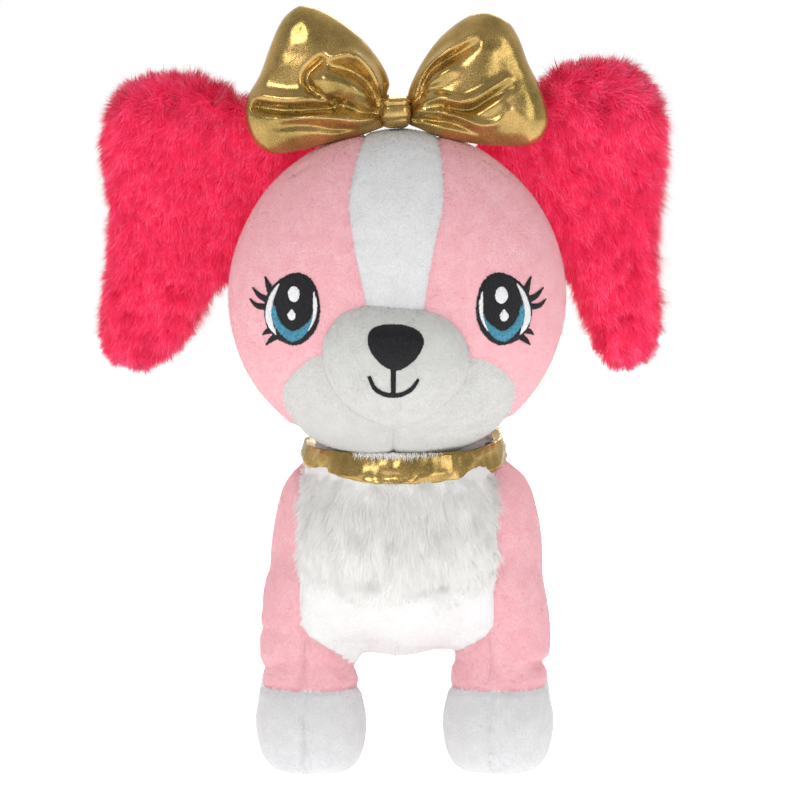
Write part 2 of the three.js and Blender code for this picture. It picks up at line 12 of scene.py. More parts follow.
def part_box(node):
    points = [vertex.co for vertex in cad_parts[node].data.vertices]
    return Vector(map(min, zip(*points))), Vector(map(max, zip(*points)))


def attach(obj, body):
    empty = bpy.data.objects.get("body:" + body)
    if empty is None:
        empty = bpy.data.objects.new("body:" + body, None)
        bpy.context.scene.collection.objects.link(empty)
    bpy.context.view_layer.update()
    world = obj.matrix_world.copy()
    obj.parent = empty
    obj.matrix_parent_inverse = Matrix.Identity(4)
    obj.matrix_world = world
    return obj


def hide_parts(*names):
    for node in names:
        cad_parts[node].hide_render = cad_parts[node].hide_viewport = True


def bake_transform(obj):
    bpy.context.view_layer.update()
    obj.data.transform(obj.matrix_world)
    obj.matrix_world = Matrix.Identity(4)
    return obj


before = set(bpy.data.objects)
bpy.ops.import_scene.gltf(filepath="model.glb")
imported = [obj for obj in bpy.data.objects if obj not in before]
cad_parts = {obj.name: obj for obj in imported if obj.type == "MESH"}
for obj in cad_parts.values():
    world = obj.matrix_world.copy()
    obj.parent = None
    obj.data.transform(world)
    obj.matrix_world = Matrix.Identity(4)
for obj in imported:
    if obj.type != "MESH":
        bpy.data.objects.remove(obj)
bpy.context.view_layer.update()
MM = 0.001

# ---------- places, from the frame ----------


def box_mm(node):
    low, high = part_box(node)
    return np.array(low) / MM, np.array(high) / MM


def middle(node):
    low, high = box_mm(node)
    return (low + high) / 2


AXIS = middle("neck_shaft") * [1, 1, 0]  # the neck axis, on the floor
HEAD_MIDDLE = AXIS + [middle("blaze_panel")[0] - AXIS[0], 0, 0]  # the head's own middle plane
HEAD_CENTRE = HEAD_MIDDLE + [0, -18, 252]
HEAD_RADII = np.array([87.5, 76, 87])
EAR_PLANE = box_mm("head_back_panel")[0][1]
PAW_SEAM = box_mm("front_left_paw_cover")[1][2]  # its height
HEAD_PIVOT = AXIS + [0, 0, 252]
SIDES = {"left": 1, "right": -1}
DOWN = np.array([0, 0, -1.0])
SPARSE = 1

# ---------- small numeric helpers ----------


def unit(v):
    return v / np.maximum(np.linalg.norm(v, axis=-1, keepdims=True), 1e-9)


def smoothstep(x, low, high):
    t = np.clip((x - low) / (high - low), 0, 1)
    return t * t * (3 - 2 * t)


def spline(points, count, closed=True):
    """Points along a smooth curve through the given ones."""
    p = np.asarray(points, float)
    n = len(p)
    spans = n if closed else n - 1
    at = np.linspace(0, spans, count, endpoint=not closed)
    i = np.minimum(at.astype(int), spans - 1)
    t = (at - i)[:, None]
    pick = (lambda k: p[k % n]) if closed else (lambda k: p[np.clip(k, 0, n - 1)])
    a, b, c, d = pick(i - 1), pick(i), pick(i + 1), pick(i + 2)
    return 0.5 * (2 * b + (c - a) * t + (2 * a - 5 * b + 4 * c - d) * t**2 + (3 * b - a - 3 * c + d) * t**3)


def inside_distance(outline, points):
    """Distance to a closed 2-D outline, positive inside it."""
    a = outline[None]
    b = np.roll(outline, -1, axis=0)[None]
    p = points[:, None]
    ab = b - a
    t = np.clip(((p - a) * ab).sum(-1) / np.maximum((ab**2).sum(-1), 1e-9), 0, 1)
    gap = np.linalg.norm(p - a - t[..., None] * ab, axis=-1).min(axis=1)
    above = (a[..., 1] > p[..., 1]) != (b[..., 1] > p[..., 1])
    rise = np.where(ab[..., 1] == 0, 1e-9, ab[..., 1])
    crossing = a[..., 0] + (p[..., 1] - a[..., 1]) / rise * ab[..., 0]
    inside = (above & (p[..., 0] < crossing)).sum(axis=1) % 2 == 1
    return np.where(inside, gap, -gap)


def line_distance(path, points):
    """Distance to an open polyline."""
    a = path[None, :-1]
    ab = path[None, 1:] - a
    p = points[:, None]
    t = np.clip(((p - a) * ab).sum(-1) / (ab**2).sum(-1), 0, 1)
    return np.linalg.norm(p - a - t[..., None] * ab, axis=-1).min(axis=1)


def distance_where(there, outline, points):
    """Distance to an outline for the chosen points, nan for the others."""
    out = np.full(len(points), np.nan)
    out[there] = inside_distance(outline, points[there])
    return out


def inside(distance):
    """Where a signed distance is positive. nan is outside."""
    return np.nan_to_num(distance, nan=-1) > 0


def lumps(points, size, seed):
    """Smooth noise from -1 to 1 with lumps of the given size."""
    offset = Vector((seed * 7.1, seed * 3.3, seed * 5.7))
    return np.array([noise.noise(Vector(p / size) + offset) for p in points])


def seen_from_front(points):
    """(x from the head's middle, height) of each point."""
    return np.stack([points[:, 0] - HEAD_MIDDLE[0], points[:, 2]], axis=1)


# ---------- materials ----------


def principled(name, colour, roughness=0.9, sheen=0.0, metallic=0.0, specular=0.5):
    material = bpy.data.materials.new(name)
    material.use_nodes = True
    shader = material.node_tree.nodes["Principled BSDF"]
    shader.inputs["Base Color"].default_value = (*colour, 1)
    shader.inputs["Roughness"].default_value = roughness
    shader.inputs["Metallic"].default_value = metallic
    shader.inputs["Specular IOR Level"].default_value = specular
    shader.inputs["Sheen Weight"].default_value = sheen
    shader.inputs["Sheen Roughness"].default_value = 0.5
    if sheen:
        shader.inputs["Sheen Tint"].default_value = (*[min(1, c * 0.4 + 0.6) for c in colour], 1)
    return material


def linear(rgb):
    """Scene-linear colour of an 8-bit sRGB one."""
    return tuple(c / 12.92 if c <= 0.04045 else ((c + 0.055) / 1.055) ** 2.4 for c in (v / 255 for v in rgb))


class Nodes:
    """Short forms for building one material's nodes."""

    def __init__(self, material):
        self.tree = material.node_tree
        self.shader = self.tree.nodes["Principled BSDF"]

    def add(self, kind, **inputs):
        node = self.tree.nodes.new(kind)
        for key, value in inputs.items():
            node.inputs[key.replace("_", " ")].default_value = value
        return node

    def link(self, a, b):
        self.tree.links.new(a, b)

    def noise(self, size, detail=2.0, stretch=(1, 1, 1)):
        place = self.add("ShaderNodeMapping", Scale=stretch)
        self.link(self.add("ShaderNodeTexCoord").outputs["Object"], place.inputs["Vector"])
        node = self.add("ShaderNodeTexNoise", Scale=1 / (size * MM), Detail=detail)
        self.link(place.outputs["Vector"], node.inputs["Vector"])
        return node.outputs["Fac"]

    def ramp(self, fac, low, high, colour_low, colour_high):
        node = self.add("ShaderNodeValToRGB")
        node.color_ramp.elements[0].position = low
        node.color_ramp.elements[1].position = high
        node.color_ramp.elements[0].color = (*colour_low, 1)
        node.color_ramp.elements[1].color = (*colour_high, 1)
        self.link(fac, node.inputs["Fac"])
        return node.outputs["Color"]

    def mix(self, share, a, b):
        node = self.tree.nodes.new("ShaderNodeMix")
        node.data_type = "RGBA"
        node.inputs[0].default_value = share
        self.link(a, node.inputs[6])
        self.link(b, node.inputs[7])
        return node.outputs[2]

    def bump(self, height, distance, strength, below=None):
        node = self.add("ShaderNodeBump", Distance=distance * MM, Strength=strength)
        self.link(height, node.inputs["Height"])
        if below:
            self.link(below, node.inputs["Normal"])
        return node.outputs["Normal"]

    def set_colour(self, colour):
        self.link(colour, self.shader.inputs["Base Color"])

    def set_roughness(self, fac, low, high):
        self.link(self.ramp(fac, 0.3, 0.7, (low,) * 3, (high,) * 3), self.shader.inputs["Roughness"])

    def set_relief(self, height, distance, strength, below=None):
        self.link(self.bump(height, distance, strength, below), self.shader.inputs["Normal"])


def plush(name, dark, light):
    """Short pile: two close shades in soft patches, with a fine tufted surface."""
    dark, light = linear(dark), linear(light)
    material = principled(name, light, roughness=1.0, sheen=0.35, specular=0.1)
    n = Nodes(material)
    patches = n.ramp(n.noise(9, 4), 0.35, 0.65, dark, light)
    tufts = n.ramp(n.noise(0.9, 3), 0.3, 0.7, tuple(c * 0.86 for c in dark), light)
    n.set_colour(n.mix(0.45, patches, tufts))
    n.set_relief(n.noise(0.8, 3), 0.6, 0.6)
    return material


def shades(name, colours, sheen=0.3, glow=0.0):
    """One plain fibre material for each colour. glow stands for the light that passes through and between fibres."""
    out = []
    for i, colour in enumerate(linear(rgb) for rgb in colours):
        material = principled(f"{name}_{i}", colour, 0.8, sheen, specular=0.25)
        shader = material.node_tree.nodes["Principled BSDF"]
        shader.inputs["Emission Color"].default_value = (*colour, 1)
        shader.inputs["Emission Strength"].default_value = glow
        out.append(material)
    return out


PINK = plush("pink_plush_cloth", (244, 176, 185), (250, 196, 203))
PINK_PILE = shades("pink_pile", [(244, 176, 185), (247, 186, 194), (250, 196, 203)])
WHITE = plush("white_plush_cloth", (222, 222, 224), (234, 234, 235))
WHITE_PILE = shades("white_pile", [(v, v, v + 1) for v in (232, 236, 240)])
# A lighter copy of the white plush. On the chest it is partly the chest's own fur cloth. On the chest, belly, flap and
# leg corners it is painted light from the table below.
PAINTED_LIT_WHITE = plush("white_fur_cloth_painted_light", (240, 239, 238), (249, 248, 248))
PAINTED_LIT_WHITE_PILE = shades("white_fur_pile_painted_light", [(240, 239, 238), (245, 244, 243), (249, 249, 249)], glow=0.05)
# The same white plush, painted darker for the muzzle and chin: painted shade.
SHADED_WHITE = plush("muzzle_painted_shade_cloth", (205, 205, 202), (218, 218, 215))
SHADED_WHITE_PILE = shades("muzzle_painted_shade_pile", [(v, v, v - 3) for v in (212, 217, 223)])
FUR_BASE = plush("hot_pink_backing", (215, 28, 72), (238, 44, 92))
EAR_PINKS = [(228, 26, 72), (246, 44, 94), (255, 68, 118), (255, 116, 158)]
EAR_FUR = shades("ear_fur", EAR_PINKS, sheen=0.7, glow=0.2)
CHEST_FUR = shades("chest_fur", [(v, v - 1, v - 3) for v in (228, 234, 240, 247, 252)], glow=0.06)

# How each kind of cloth looks, with a darker copy in painted shade and a lighter one partly in painted light: the
# cloth, its pile and the slot.
PINK_CLOTH = (PINK, PINK_PILE, "pink_plush")
WHITE_CLOTH = (WHITE, WHITE_PILE, "white_plush")
SHADED_WHITE_CLOTH = (SHADED_WHITE, SHADED_WHITE_PILE, "white_plush")
BELLY_CLOTH = (PAINTED_LIT_WHITE, PAINTED_LIT_WHITE_PILE, "white_plush")
CHEST_CLOTH = (PAINTED_LIT_WHITE, PAINTED_LIT_WHITE_PILE, "white_fur")


# ---------- meshes ----------


def make_object(name, verts, faces, materials, labels=None, normals=None):
    """A smooth mesh object from millimetre points."""
    mesh = bpy.data.meshes.new(name)
    mesh.from_pydata((np.asarray(verts) * MM).tolist(), [], [tuple(map(int, f)) for f in faces])
    for material in materials:
        mesh.materials.append(material)
    mesh.polygons.foreach_set("use_smooth", np.ones(len(mesh.polygons), bool))
    if labels is not None:
        mesh.polygons.foreach_set("material_index", np.asarray(labels, np.int32))
    mesh.update()
    if normals is not None:
        mesh.normals_split_custom_set_from_vertices(np.asarray(normals).tolist())
    obj = bpy.data.objects.new(name, mesh)
    bpy.context.scene.collection.objects.link(obj)
    return obj


def cube_sphere(n):
    """Unit points and quads of a cube pushed out to a sphere, n faces along each edge."""
    a = np.tan(np.linspace(-math.pi / 4, math.pi / 4, n + 1))
    u, v = np.meshgrid(a, a, indexing="ij")
    one = np.ones_like(u)
    patches = [(one, u, v), (-one, v, u), (v, one, u), (u, -one, v), (u, v, one), (v, u, -one)]
    points = np.concatenate([np.stack(p, -1).reshape(-1, 3) for p in patches])
    i, j = np.meshgrid(range(n), range(n), indexing="ij")
    corner = (i * (n + 1) + j).ravel()
    quad = np.stack([corner, corner + n + 1, corner + n + 2, corner + 1], 1)
    quads = np.concatenate([quad + k * (n + 1) ** 2 for k in range(6)])
    _, keep, same = np.unique(np.round(points, 5), axis=0, return_index=True, return_inverse=True)
    return unit(points[keep]), same.ravel()[quads]


def loft(rings, sides, along):
    """A closed skin through (position, centre, half sizes) rings. along says which axis they stack on."""
    at = np.array([r[0] for r in rings], float)
    rest = np.array([[*r[1], *r[2]] for r in rings], float)
    fine = np.linspace(0, len(rings) - 1, 4 * (len(rings) - 1) + 1)
    full = spline(np.column_stack([at, rest]), len(fine), closed=False)
    angle = np.linspace(0, 2 * math.pi, sides, endpoint=False)
    a = full[:, 1:2] + full[:, 3:4] * np.cos(angle)
    b = full[:, 2:3] + full[:, 4:5] * np.sin(angle)
    level = np.repeat(full[:, :1], sides, axis=1)
    stack = np.stack([a, b, level] if along == "z" else [-a, level, b], -1).reshape(-1, 3)
    ends = [stack[:sides].mean(axis=0), stack[-sides:].mean(axis=0)]
    rows = len(full)
    faces = []
    for i in range(sides):
        j = (i + 1) % sides
        faces.append((rows * sides, j, i))
        faces.append((rows * sides + 1, (rows - 1) * sides + i, (rows - 1) * sides + j))
        for row in range(rows - 1):
            k = row * sides
            faces.append((k + i, k + j, k + sides + j, k + sides + i))
    return np.concatenate([stack, ends]), faces


def voxel_union(shells, size):
    """One even skin round several overlapping closed ones."""
    verts, faces = [], []
    for points, polygons in shells:
        start = sum(len(v) for v in verts)
        verts.append(points)
        faces += [tuple(start + int(k) for k in f) for f in polygons]
    obj = make_object("union", np.concatenate(verts), faces, [])
    remesh = obj.modifiers.new("remesh", "REMESH")
    remesh.mode = "VOXEL"
    remesh.voxel_size = size * MM
    solved = obj.evaluated_get(bpy.context.evaluated_depsgraph_get()).to_mesh()
    points = np.empty(len(solved.vertices) * 3)
    solved.vertices.foreach_get("co", points)
    polygons = [tuple(p.vertices) for p in solved.polygons]
    bpy.data.objects.remove(obj)
    return points.reshape(-1, 3) / MM, polygons


def relax(points, faces, rounds):
    """Evens out a skin by pulling each point towards its neighbours."""
    pairs = np.array([(a, b) for f in faces for a, b in zip(f, f[1:] + f[:1])])
    pairs = np.concatenate([pairs, pairs[:, ::-1]])
    count = np.bincount(pairs[:, 0], minlength=len(points))[:, None]
    for _ in range(rounds):
        total = np.zeros_like(points)
        for axis in range(3):
            total[:, axis] = np.bincount(pairs[:, 0], weights=points[pairs[:, 1], axis], minlength=len(points))
        points = points + 0.5 * (total / count - points)
    return points


class Skin:
    """A skin that seams are cut into, before it is shared out into panels."""

    def __init__(self, points, faces):
        self.bm = bmesh.new()
        verts = [self.bm.verts.new(p) for p in points]
        for f in faces:
            self.bm.faces.new([verts[int(i)] for i in f])
        bmesh.ops.recalc_face_normals(self.bm, faces=self.bm.faces)

    def points(self):
        return np.array([v.co for v in self.bm.verts])

    def cut(self, field):
        """Puts an edge wherever field is 0. field is nan where there is no seam."""
        bm = self.bm
        bm.verts.index_update()
        value = field(self.points())
        crossing = lambda e: value[e.verts[0].index] * value[e.verts[1].index] < 0
        for e in [e for e in bm.edges if crossing(e)]:
            if not crossing(e):
                continue
            a, b = e.verts
            t = value[a.index] / (value[a.index] - value[b.index])
            if t < 0.25 or t > 0.75:
                near = a if t < 0.25 else b
                near.co = a.co.lerp(b.co, t)
                value[near.index] = 0
        fresh = [v for v in bm.verts if value[v.index] == 0]
        for e in [e for e in bm.edges if crossing(e)]:
            a = e.verts[0]
            t = value[a.index] / (value[a.index] - value[e.other_vert(a).index])
            fresh.append(bmesh.utils.edge_split(e, a, t)[1])
        bmesh.ops.connect_verts(bm, verts=fresh)
        bm.verts.index_update()

    def move(self, offset):
        """Moves each point along its normal by offset(points)."""
        self.bm.normal_update()
        for v, d in zip(self.bm.verts, offset(self.points())):
            v.co += v.normal * float(d)
        self.bm.normal_update()

    def panels(self, label):
        """{name: (points, normals, faces)} with each face in the panel that label(centres) gives."""
        bm = self.bm
        bm.normal_update()
        bm.verts.index_update()
        names = label(np.array([f.calc_center_median() for f in bm.faces]))
        groups = {}
        for f, name in zip(bm.faces, names):
            groups.setdefault(name, []).append([v.index for v in f.verts])
        points, normals = self.points(), np.array([v.normal for v in bm.verts])
        out = {}
        for name, faces in groups.items():
            used = sorted({i for f in faces for i in f})
            place = {i: k for k, i in enumerate(used)}
            out[name] = (points[used], normals[used], [[place[i] for i in f] for f in faces])
        return out

    def whole(self):
        """The skin as one panel."""
        return self.panels(lambda centres: ["whole"] * len(centres))["whole"]


# ---------- fur and pile ----------


def scatter(obj, density, rng, keep=None):
    """Random roots on a mesh object: (points, normals), about density of them per square millimetre."""
    mesh = obj.data
    mesh.calc_loop_triangles()
    count = len(mesh.loop_triangles)
    corner = np.empty(count * 3, np.int32)
    mesh.loop_triangles.foreach_get("vertices", corner)
    corner = corner.reshape(-1, 3)
    places, facing = np.empty((2, len(mesh.vertices) * 3))
    mesh.vertices.foreach_get("co", places)
    mesh.vertex_normals.foreach_get("vector", facing)
    places, facing = places.reshape(-1, 3) / MM, facing.reshape(-1, 3)
    a, b, c = (places[corner[:, k]] for k in range(3))
    area = np.linalg.norm(np.cross(b - a, c - a), axis=1) / 2
    pick = rng.choice(count, int(area.sum() * density), p=area / area.sum())
    u, v = rng.random(len(pick)), rng.random(len(pick))
    flip = u + v > 1
    u[flip], v[flip] = 1 - u[flip], 1 - v[flip]
    w = 1 - u - v
    tri = corner[pick]
    weigh = lambda x: x[tri[:, 0]] * w[:, None] + x[tri[:, 1]] * u[:, None] + x[tri[:, 2]] * v[:, None]
    points, normals = weigh(places), unit(weigh(facing))
    if keep is not None:
        chosen = keep(points)
        points, normals = points[chosen], normals[chosen]
    return points, normals


def strands(name, roots, normals, aim, length, width, segments, curl, materials, tone, uneven=0.1):
    """Tapered ribbons from roots along aim, bending by curl. tone picks each one's material, root to tip."""
    n = len(roots)
    side = unit(np.cross(aim, normals) + 1e-6)
    rows = []
    for step in np.linspace(0, 1, segments + 1):
        centre = roots + length[:, None] * (aim * step + curl * step**2)
        half = (width * (1 - step**1.6) / 2)[:, None]
        rows.append((centre - side * half, centre + side * half))
    verts = [p for pair in rows[:-1] for p in pair] + [rows[-1][0]]
    per = len(verts)
    points = np.stack(verts, axis=1).reshape(-1, 3)
    points[:, 2] = np.maximum(points[:, 2], 0.1)
    base = (np.arange(n) * per)[:, None]
    quads = [[2 * k, 2 * k + 1, 2 * k + 3, 2 * k + 2] for k in range(segments - 1)]
    loops = np.concatenate([base + q for q in quads] + [base + [per - 3, per - 2, per - 1]], axis=1)
    starts = 4 * np.arange(segments)
    corners = 4 * segments - 1
    mesh = bpy.data.meshes.new(name)
    mesh.vertices.add(len(points))
    mesh.vertices.foreach_set("co", (points * MM).astype(np.float32).ravel())
    mesh.loops.add(n * corners)
    mesh.loops.foreach_set("vertex_index", loops.astype(np.int32).ravel())
    mesh.polygons.add(n * segments)
    mesh.polygons.foreach_set("loop_start", (np.arange(n)[:, None] * corners + starts).astype(np.int32).ravel())
    mesh.polygons.foreach_set("use_smooth", np.ones(n * segments, bool))
    for material in materials:
        mesh.materials.append(material)
    mesh.polygons.foreach_set("material_index", tone(n, segments).astype(np.int32).ravel())
    mesh.update(calc_edges=True)
    lit = unit(normals + uneven * np.sin(np.arange(3 * n).reshape(n, 3) * 12.9))
    mesh.normals_split_custom_set_from_vertices(np.repeat(lit, per, axis=0).tolist())
    obj = bpy.data.objects.new(name, mesh)
    bpy.context.scene.collection.objects.link(obj)
    return obj


COVER = 2.5  # the thickness of the plush cloth


def cover(name, panel, materials, paint=None):
    """A closed piece of plush cloth: the panel's outer skin, an inner one and the cut edge between them."""
    points, normals, faces = panel
    n = len(points)
    edges = {(a, b) for f in faces for a, b in zip(f, f[1:] + f[:1])}
    rim = [(b, a, a + n, b + n) for a, b in sorted(edges) if (b, a) not in edges]
    everything = faces + [[i + n for i in reversed(f)] for f in faces] + rim
    both = np.concatenate([points, points - normals * COVER])
    labels = None
    if paint is not None:
        labels = paint(np.array([both[list(f)].mean(axis=0) for f in everything]))
    return make_object(name, both, everything, materials, labels, np.concatenate([normals, -normals]))


NAP_DENSITY, NAP_LENGTH, NAP_WIDTH = 1.5, 1.4, 0.4  # fibres per square millimetre, and their size


def nap(cloth, panel, materials, seed, keep=None):
    """Short fibres over the outer side of a cloth panel, combed downwards."""
    rng = np.random.default_rng(seed)
    points, normals, faces = panel
    skin = make_object("roots", points, faces, [], None, normals)
    roots, facing = scatter(skin, NAP_DENSITY * SPARSE, rng, keep)
    bpy.data.objects.remove(skin)
    comb = unit(DOWN - facing * (facing @ DOWN)[:, None])
    aim = unit(0.8 * facing + 1.25 * comb + 0.35 * rng.normal(size=roots.shape))
    size = NAP_LENGTH * rng.uniform(0.6, 1.15, len(roots))
    wide = np.full(len(roots), NAP_WIDTH)
    straight = np.zeros_like(roots)
    pick = lambda n, segments: rng.integers(0, len(materials), n)
    return strands(f"{cloth}_pile", roots - facing * 0.2, facing, aim, size, wide, 1, straight, materials, pick, 0.06)


# ---------- head ----------


def seam_line(heights, offsets):
    """A smooth seam drawn from the front: offset from the head's middle as a function of height."""
    curve = spline(np.column_stack([heights, offsets]), 60, closed=False)
    order = np.argsort(curve[:, 0])
    return lambda z: np.interp(z, curve[order, 0], curve[order, 1])


BLAZE_LEFT = seam_line([236, 250, 266, 285, 302, 320, 335, 345], [-14, -15.9, -19.5, -23.2, -24.9, -22, -17.7, -15])
BLAZE_RIGHT = seam_line([236, 250, 266, 285, 302, 320, 335, 345], [13, 14.3, 16.7, 20.5, 23.9, 23.6, 21.5, 19])
CHIN = spline(
    [(-39, 223), (-50, 217), (-58, 208), (-59.3, 200), (-56, 189), (-48, 177), (-34, 164), (0, 158), (34, 164)]
    + [(50, 178), (57, 186), (61, 199), (59.5, 210), (50, 218), (38, 222), (0, 226)],
    120,
)
CHIN_SEAM = -1.9
CHIN_TOP = 236  # the chin's outline lies below this height, behind the muzzle's edge
BLAZE_SEAM_END, BLAZE_FOOT = 238, 215  # where the blaze's seams and its cloth end, both behind the muzzle
CHIN_SEAM_TOP = 205
DARTS = [
    spline([(-54, 314.7), (-51, 317.6), (-46.6, 319.6)], 8, False),
    spline([(44.5, 323), (51, 320), (57.4, 314.7)], 8, False),
]


def front_of(points):
    return points[:, 1] < EAR_PLANE


def chin_distance(points):
    seen = seen_from_front(points)
    return distance_where(front_of(points) & (seen[:, 1] < CHIN_TOP), CHIN, seen)


def head_seams(points):
    """Signed distance to each head seam, nan where it doesn't run."""
    u, z = seen_from_front(points).T
    front = front_of(points)
    high = front & (z > BLAZE_SEAM_END)
    return [
        np.where(high, u - BLAZE_LEFT(z), np.nan),
        np.where(high, u - BLAZE_RIGHT(z), np.nan),
        chin_distance(points),
        np.where(front & (z < CHIN_SEAM_TOP), u - CHIN_SEAM, np.nan),
        points[:, 1] - EAR_PLANE,
        np.where(~front, u, np.nan),
    ]


def groove(distances, width, depth, puff):
    """A sewn valley along the nearest seam, and a slight swell of the cloth away from it."""
    nearest = np.nanmin(np.abs(np.stack(distances)), axis=0)
    return -depth * np.exp(-((nearest / width) ** 2)) + puff * (1 - np.exp(-((nearest / 12) ** 2)))


def head_relief(points):
    seen = seen_from_front(points)
    swell = groove(head_seams(points), 1.5, 1.5, 1.0) + 0.6 * lumps(points, 38, 1)
    front = front_of(points)
    for dart in DARTS:
        gap = np.where(front, line_distance(dart, seen), 99)
        swell -= 1.3 * np.exp(-((gap / 1.3) ** 2))
    return swell


def name_head_panel(centres):
    u, z = seen_from_front(centres).T
    front = front_of(centres)
    chin = inside(chin_distance(centres))
    names = np.where(u > 0, "face_left", "face_right").astype(object)
    names[front & (u > BLAZE_LEFT(z)) & (u < BLAZE_RIGHT(z)) & (z > BLAZE_FOOT)] = "blaze"
    names[chin] = np.where(u[chin] > CHIN_SEAM, "chin_left", "chin_right")
    names[~front] = "back"
    return names


def head_panels():
    points, quads = cube_sphere(58)
    skin = Skin(HEAD_CENTRE + points * HEAD_RADII, quads)
    for k in range(6):
        skin.cut(lambda p: head_seams(p)[k])
    skin.move(head_relief)
    return skin.panels(name_head_panel)


HEAD_PANELS = head_panels()

# The muzzle, a stuffed bag of its own. Its outline from the front is squarer at the top.
MUZZLE_AT = HEAD_MIDDLE + [0, -82, 218.5]
MUZZLE_DEPTH = 30
MUZZLE_OUTLINE = spline(
    [(-38.3, 227), (-35.5, 236.5), (-28, 246), (-14, 250.5), (0, 250.2), (14, 248), (27.4, 242), (34.5, 232.5)]
    + [(37.4, 222), (35.5, 212.5), (29.8, 203.4), (19, 193.7), (8, 188.4), (-2.2, 186.8), (-14.2, 190.2)]
    + [(-27, 197.8)]
    + [(-35.5, 211)],
    160,
)


def muzzle_relief(points):
    seen = seen_from_front(points)
    front = points[:, 1] < MUZZLE_AT[1]
    fold = np.abs(seen[:, 0] - CHIN_SEAM)
    below = smoothstep(222 - seen[:, 1], 0, 8)
    return np.where(front, -1.6 * below * np.exp(-((fold / 3.2) ** 2)), 0) + 0.7 * lumps(points, 22, 3)


def muzzle_shape():
    points, quads = cube_sphere(40)
    outline = MUZZLE_OUTLINE - [0, MUZZLE_AT[2]]
    around = np.arctan2(outline[:, 1], outline[:, 0])
    order = np.argsort(around)
    reach = np.hypot(*outline.T)[order]
    angle = np.arctan2(points[:, 2], points[:, 0])
    radius = np.interp(angle, around[order], reach, period=2 * math.pi)
    flat = np.hypot(points[:, 0], points[:, 2]) ** 0.82
    depth = np.sign(points[:, 1]) * np.abs(points[:, 1]) ** 0.95 * MUZZLE_DEPTH
    shaped = np.stack([radius * flat * np.cos(angle), depth, radius * flat * np.sin(angle)], 1)
    skin = Skin(MUZZLE_AT + shaped, quads)
    skin.move(muzzle_relief)
    return skin.whole()


MUZZLE = muzzle_shape()

# ---------- embroidery ----------


def search_tree(*panels):
    """The panels as one mesh that rays can be cast at."""
    verts, faces = [], []
    for points, _, polygons in panels:
        start = len(verts)
        verts += [Vector(p) for p in points]
        faces += [[i + start for i in f] for f in polygons]
    return BVHTree.FromPolygons(verts, faces)


FACE_TREE = search_tree(*(HEAD_PANELS[n] for n in ("blaze", "face_left", "face_right", "chin_left", "chin_right")))
MUZZLE_TREE = search_tree(MUZZLE)


def drop_on(tree, seen):
    """Points on a skin straight behind the given front-view points, with their normals."""
    points, normals = [], []
    for u, z in seen:
        hit, normal, _, _ = tree.ray_cast(Vector((u + HEAD_MIDDLE[0], -300, z)), Vector((0, 1, 0)))
        if hit is None:
            hit, normal, _, _ = tree.find_nearest(Vector((u + HEAD_MIDDLE[0], -110, z)))
        points.append(hit)
        normals.append(normal)
    return np.array(points), np.array(normals)


PITCH = 0.46  # from one thread of satin stitch to the next
SHORTEST = 0.25  # stitches below this length are left out
SUNK = 0.3  # how far a thread's sides lie below its own level


class Stitches:
    """Half-round threads gathered into one mesh."""

    def __init__(self, tree, seed):
        self.tree = tree
        self.rng = np.random.default_rng(seed)
        self.verts, self.faces, self.labels = [], [], []

    def thread(self, a, b, label, level, dome=None):
        """One straight stitch from a to b, lying level above the cloth."""
        length = np.hypot(*(b - a))
        if length < SHORTEST:
            return
        steps = max(2, int(length / 1.6))
        t = np.linspace(0, 1, steps + 1)
        seen = a + t[:, None] * (b - a)
        base, normals = drop_on(self.tree, seen)
        across = unit(np.cross(normals, np.gradient(base, axis=0)))
        lift = level + (dome(seen) if dome else 0) - 0.5 * np.maximum(0, 1 - np.minimum(t, 1 - t) * length / 0.5)
        middle = base + normals * np.asarray(lift)[:, None]
        half = across * PITCH * 0.62
        low = normals * SUNK
        rows = np.stack([middle - half - low, middle - half * 0.5, middle + half * 0.5, middle + half - low], 1)
        start = len(self.verts)
        self.verts += list(rows.reshape(-1, 3))
        for k in range(steps):
            i = start + 4 * k
            self.faces += [(i + c, i + c + 1, i + c + 5, i + c + 4) for c in range(3)]
            self.labels += [label] * 3

    def fill(self, outline, angle, label, level, dome=None, ragged=0.45):
        """Parallel stitches at an angle, filling an outline."""
        along = np.array([math.cos(angle), math.sin(angle)])
        side = np.array([-along[1], along[0]])
        reach = outline @ side
        for row in np.arange(reach.min() + PITCH / 2, reach.max(), PITCH):
            low, high = outline @ side - row, np.roll(outline, -1, 0) @ side - row
            crossed = (low > 0) != (high > 0)
            t = (low / (low - high + 1e-12))[crossed]
            hits = outline[crossed] + t[:, None] * (np.roll(outline, -1, 0) - outline)[crossed]
            ends = np.sort(hits @ along)
            for a, b in zip(ends[::2], ends[1::2]):
                a -= self.rng.uniform(-0.3, 1) * ragged
                b += self.rng.uniform(-0.3, 1) * ragged
                self.thread(along * a + side * row, along * b + side * row, label, level, dome)

    def satin(self, path, widths, label, level):
        """Stitches across a curved path, whose width changes along it."""
        curve = spline(path, 96, closed=False)
        run = np.concatenate([[0], np.cumsum(np.hypot(*np.diff(curve, axis=0).T))])
        ways = unit(np.gradient(curve, axis=0))
        for at in np.arange(0, run[-1], PITCH):
            centre = np.array([np.interp(at, run, curve[:, k]) for k in (0, 1)])
            way = np.array([np.interp(at, run, ways[:, k]) for k in (0, 1)])
            half = np.interp(at / run[-1], np.linspace(0, 1, len(widths)), widths) / 2
            reach = np.array([-way[1], way[0]]) * (half + self.rng.uniform(-0.1, 0.15)) + way * 0.15
            self.thread(centre - reach, centre + reach, label, level)

    def build(self, name):
        return make_object(name, self.verts, self.faces, THREADS, self.labels)


